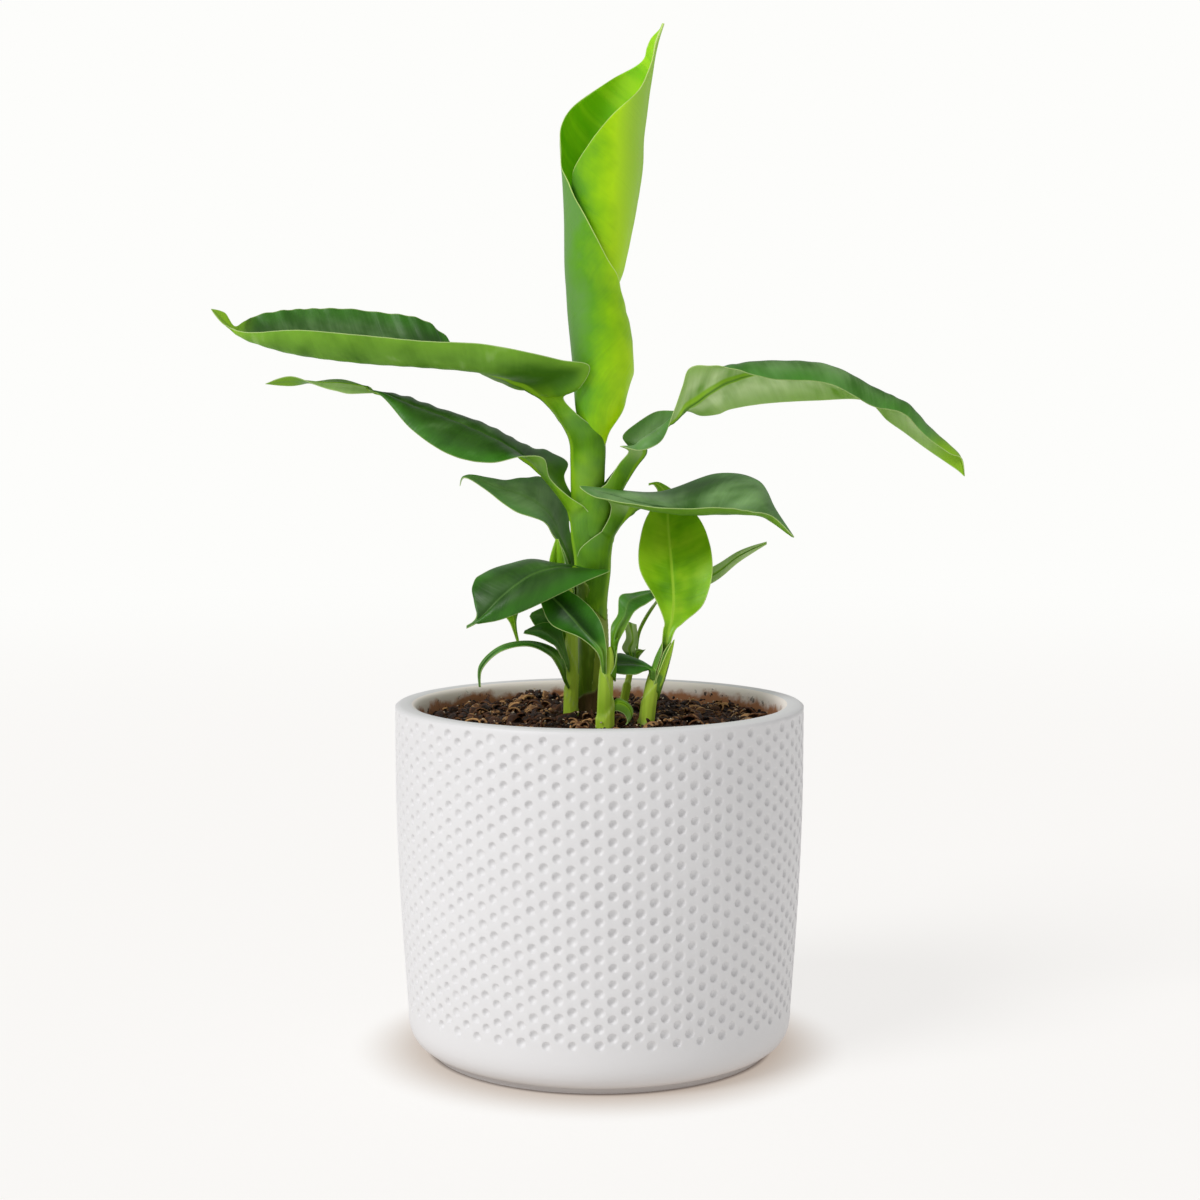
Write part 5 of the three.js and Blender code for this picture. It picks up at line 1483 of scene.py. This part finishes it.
def leaf_mesh(grid, sheath, rib_at_stem, plant, node, phase):
    """Points, places and looks of a leaf with its groove, rib, thin margins and ripples."""
    *tones, stalk, wave_size, fresh_tip = BLADE_LOOKS[node]
    blade = plant.blade / MM
    run, off, edge, widths = blade_places(grid, sheath)
    t = np.maximum(run, 0) / run[-1]
    wide = smooth_step(widths, 2, 9) * smooth_step(run, stalk * 0.6, stalk * 1.3)
    sweep = run - RIPPLE_SLANT * np.abs(off)
    wave = np.sin(sweep * 0.8 + 1.7 * np.sin(sweep * 0.13 + phase) + phase * 3 + np.sign(SHARES))
    slow = np.sin(sweep * 0.21 + phase * 5 + 2 * np.sign(SHARES))
    size = plant.ripple * wave_size * np.where(SHARES > 0, 1, FIRST_HALF_WAVES)
    ripple = size * wide * np.abs(SHARES) ** 2.2 * (wave + 0.9 * slow)
    pleats = (0.05 + 0.2 * size) * np.sin(sweep * 0.85 + phase)
    pleats = pleats * wide * (1 - np.abs(SHARES) ** 4)
    half = blade / 2 * (0.45 + 0.55 * smooth_step(edge, 0, 1.5))
    foot = np.minimum(1, np.maximum(t, 0.02) / SHEATH_SHARE) * (run > -4)
    rib_size = (rib_at_stem + (RIB_AT_TIP - rib_at_stem) * t - blade) * foot
    flesh = np.maximum(0, 1 - np.abs(SHARES) / 0.4) * (1 - smooth_step(widths, 5, 12))
    swell = rib_size * np.maximum(flesh, 0.75 * np.exp(-(off / RIB_HALF_WIDTH) ** 2))
    groove = GROOVE_DEPTH * np.exp(-(off / GROOVE_HALF_WIDTH) ** 2) * wide
    thin = smooth_step(widths * 2, 0, 3)
    waves = ripple + pleats
    points = sheet_points(grid, half * thin - groove + waves, (half + swell) * thin - waves)
    flat = np.zeros_like(off)
    place = np.stack([run + flat, off, edge], -1).reshape(-1, 3)
    stalk_share = 1 - smooth_step(run, stalk * 0.55, stalk * 1.25) - fresh_tip * smooth_step(t, 0.85, 0.94)
    # Painted shade towards the stalk
    shade = PAINTED_BASE_SHADES.get(node, 0) * (1 - smooth_step(run, stalk, stalk + BASE_LENGTH))
    looks = [np.stack([tone - shade + flat, stalk_share + flat, phase + flat], -1) for tone in tones]
    return points, np.concatenate([place, place]), np.concatenate(looks).reshape(-1, 3)


def grow_leaves(context, leaves, seats, steps, rib_at_stem):
    """One object for each leaf of a set, with its upper face, under face and border."""
    plant = context.scene.banana_plant
    upper, under, young = upper_blade(plant), under_blade(plant), young_blade(plant)
    for count, (node, stations) in enumerate(leaves.items()):
        rows, sheath = leaf_rows(stations, SHEATH_WRAPS.get(node, []), STEM_PATHS[seats(node)], steps)
        points, place, look = leaf_mesh(rows, sheath, rib_at_stem, plant, node, 0.7 + 1.3 * count)
        faces, sides = sheet_faces(*rows.shape[:2])
        fresh = node in YOUNG_LEAVES
        above = young if fresh or node in FRESH_ABOVE else under if node in PALE_FOR_PAINTED_LIGHT else upper
        piece = make_object(
            node.capitalize(), points, faces, [above, young if fresh else under], np.minimum(sides, 1),
            {"place": place, "look": look},
        )
        stand_for(piece, node)


class BANANA_OT_main_leaves(bpy.types.Operator):
    """Grow the five open leaves of the old stem"""

    bl_idname = "banana.main_leaves"
    bl_label = "Main leaves"

    def execute(self, context):
        grow_leaves(context, MAIN_LEAVES, lambda node: "main_stem", *MAIN_LEAF_MESH)
        return {"FINISHED"}


class BANANA_OT_shoot_leaves(bpy.types.Operator):
    """Grow the leaves of the four side shoots"""

    bl_idname = "banana.shoot_leaves"
    bl_label = "Leaves of the shoots"

    def execute(self, context):
        grow_leaves(
            context, SHOOT_LEAVES, lambda node: node.split("_")[0] + "_shoot_stem", *SHOOT_LEAF_MESH
        )
        return {"FINISHED"}


# The stage

FLOOR_RADIUS = 9000
FLOOR_SIDES = 96
KEY_FROM = (-0.58, -0.48, 0.66)
KEY_WIDTH = math.radians(26)
LENS = 65.58
SENSOR = 36
CAMERA_ASIDE = 0.2


def add_floor(stage):
    rim = [(x, y, 0) for x, y in circle(FLOOR_RADIUS, FLOOR_SIDES)]
    floor = make_object("Floor", rim, [range(FLOOR_SIDES)], [floor_material(stage)])


def add_light(stage):
    """One wide soft light from the upper left in front."""
    light = bpy.data.lights.new("Key light", "SUN")
    light.energy = stage.key
    light.angle = KEY_WIDTH
    key = bpy.data.objects.new("Key light", light)
    key.rotation_euler = (-Vector(KEY_FROM)).to_track_quat("-Z", "Y").to_euler()
    bpy.context.scene.collection.objects.link(key)


def set_world(stage):
    """Even white light from all round, against a backdrop as white as the floor."""
    world = bpy.data.worlds.new("White surround")
    world.use_nodes = True
    tree = world.node_tree
    seen = add_node(tree, "background", linear(BACKDROP), 1.0)
    lit = add_node(tree, "background", (1, 1, 1, 1), stage.sky)
    both = add_node(tree, "either", add_node(tree, "ray"), lit, seen)
    feed(tree.nodes["World Output"], {"Surface": both})
    bpy.context.scene.world = world


def add_camera(stage):
    """The camera in front of the pot, a little over its rim and looking slightly down."""
    data = bpy.data.cameras.new("Camera")
    data.lens = LENS
    data.sensor_width = SENSOR
    data.clip_start = 0.01
    data.clip_end = 50
    camera = bpy.data.objects.new("Camera", data)
    camera.location = (CAMERA_ASIDE * MM, -stage.distance, stage.height)
    camera.rotation_euler = (math.pi / 2 - stage.tilt, 0, 0)
    bpy.context.scene.collection.objects.link(camera)
    bpy.context.scene.camera = camera


class BANANA_OT_stage(bpy.types.Operator):
    """Set up the pale floor, the soft light and the camera"""

    bl_idname = "banana.stage"
    bl_label = "Stage"

    def execute(self, context):
        stage = context.scene.banana_stage
        add_floor(stage)
        add_light(stage)
        set_world(stage)
        add_camera(stage)
        context.scene.view_settings.view_transform = "Standard"
        return {"FINISHED"}


OPERATORS = (
    BANANA_OT_pot, BANANA_OT_soil, BANANA_OT_stems, BANANA_OT_rolled_leaf, BANANA_OT_main_leaves,
    BANANA_OT_shoot_leaves, BANANA_OT_stage,
)
SETTINGS = {
    "banana_pot": PotSettings, "banana_soil": SoilSettings, "banana_plant": PlantSettings,
    "banana_stage": StageSettings,
}


class BANANA_PT_panel(bpy.types.Panel):
    """Settings and steps of the potted banana plant"""

    bl_idname = "BANANA_PT_panel"
    bl_label = "Potted Banana Plant"
    bl_space_type = "VIEW_3D"
    bl_region_type = "UI"
    bl_category = "Banana Plant"

    def draw(self, context):
        for operator in OPERATORS:
            self.layout.operator(operator.bl_idname)
        for label, group in SETTINGS.items():
            box = self.layout.box()
            for name in group.__annotations__:
                box.prop(getattr(context.scene, label), name)


def register():
    for group in (*SETTINGS.values(), *OPERATORS, BANANA_PT_panel):
        bpy.utils.register_class(group)
    for label, group in SETTINGS.items():
        setattr(bpy.types.Scene, label, bpy.props.PointerProperty(type=group))


def unregister():
    for label in SETTINGS:
        delattr(bpy.types.Scene, label)
    for group in (BANANA_PT_panel, *reversed(OPERATORS), *SETTINGS.values()):
        bpy.utils.unregister_class(group)


def main():
    register()
    bpy.ops.banana.pot()
    bpy.ops.banana.soil()
    bpy.ops.banana.stems()
    bpy.ops.banana.rolled_leaf()
    bpy.ops.banana.main_leaves()
    bpy.ops.banana.shoot_leaves()
    bpy.ops.banana.stage()
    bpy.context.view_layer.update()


if __name__ == "__main__":
    main()
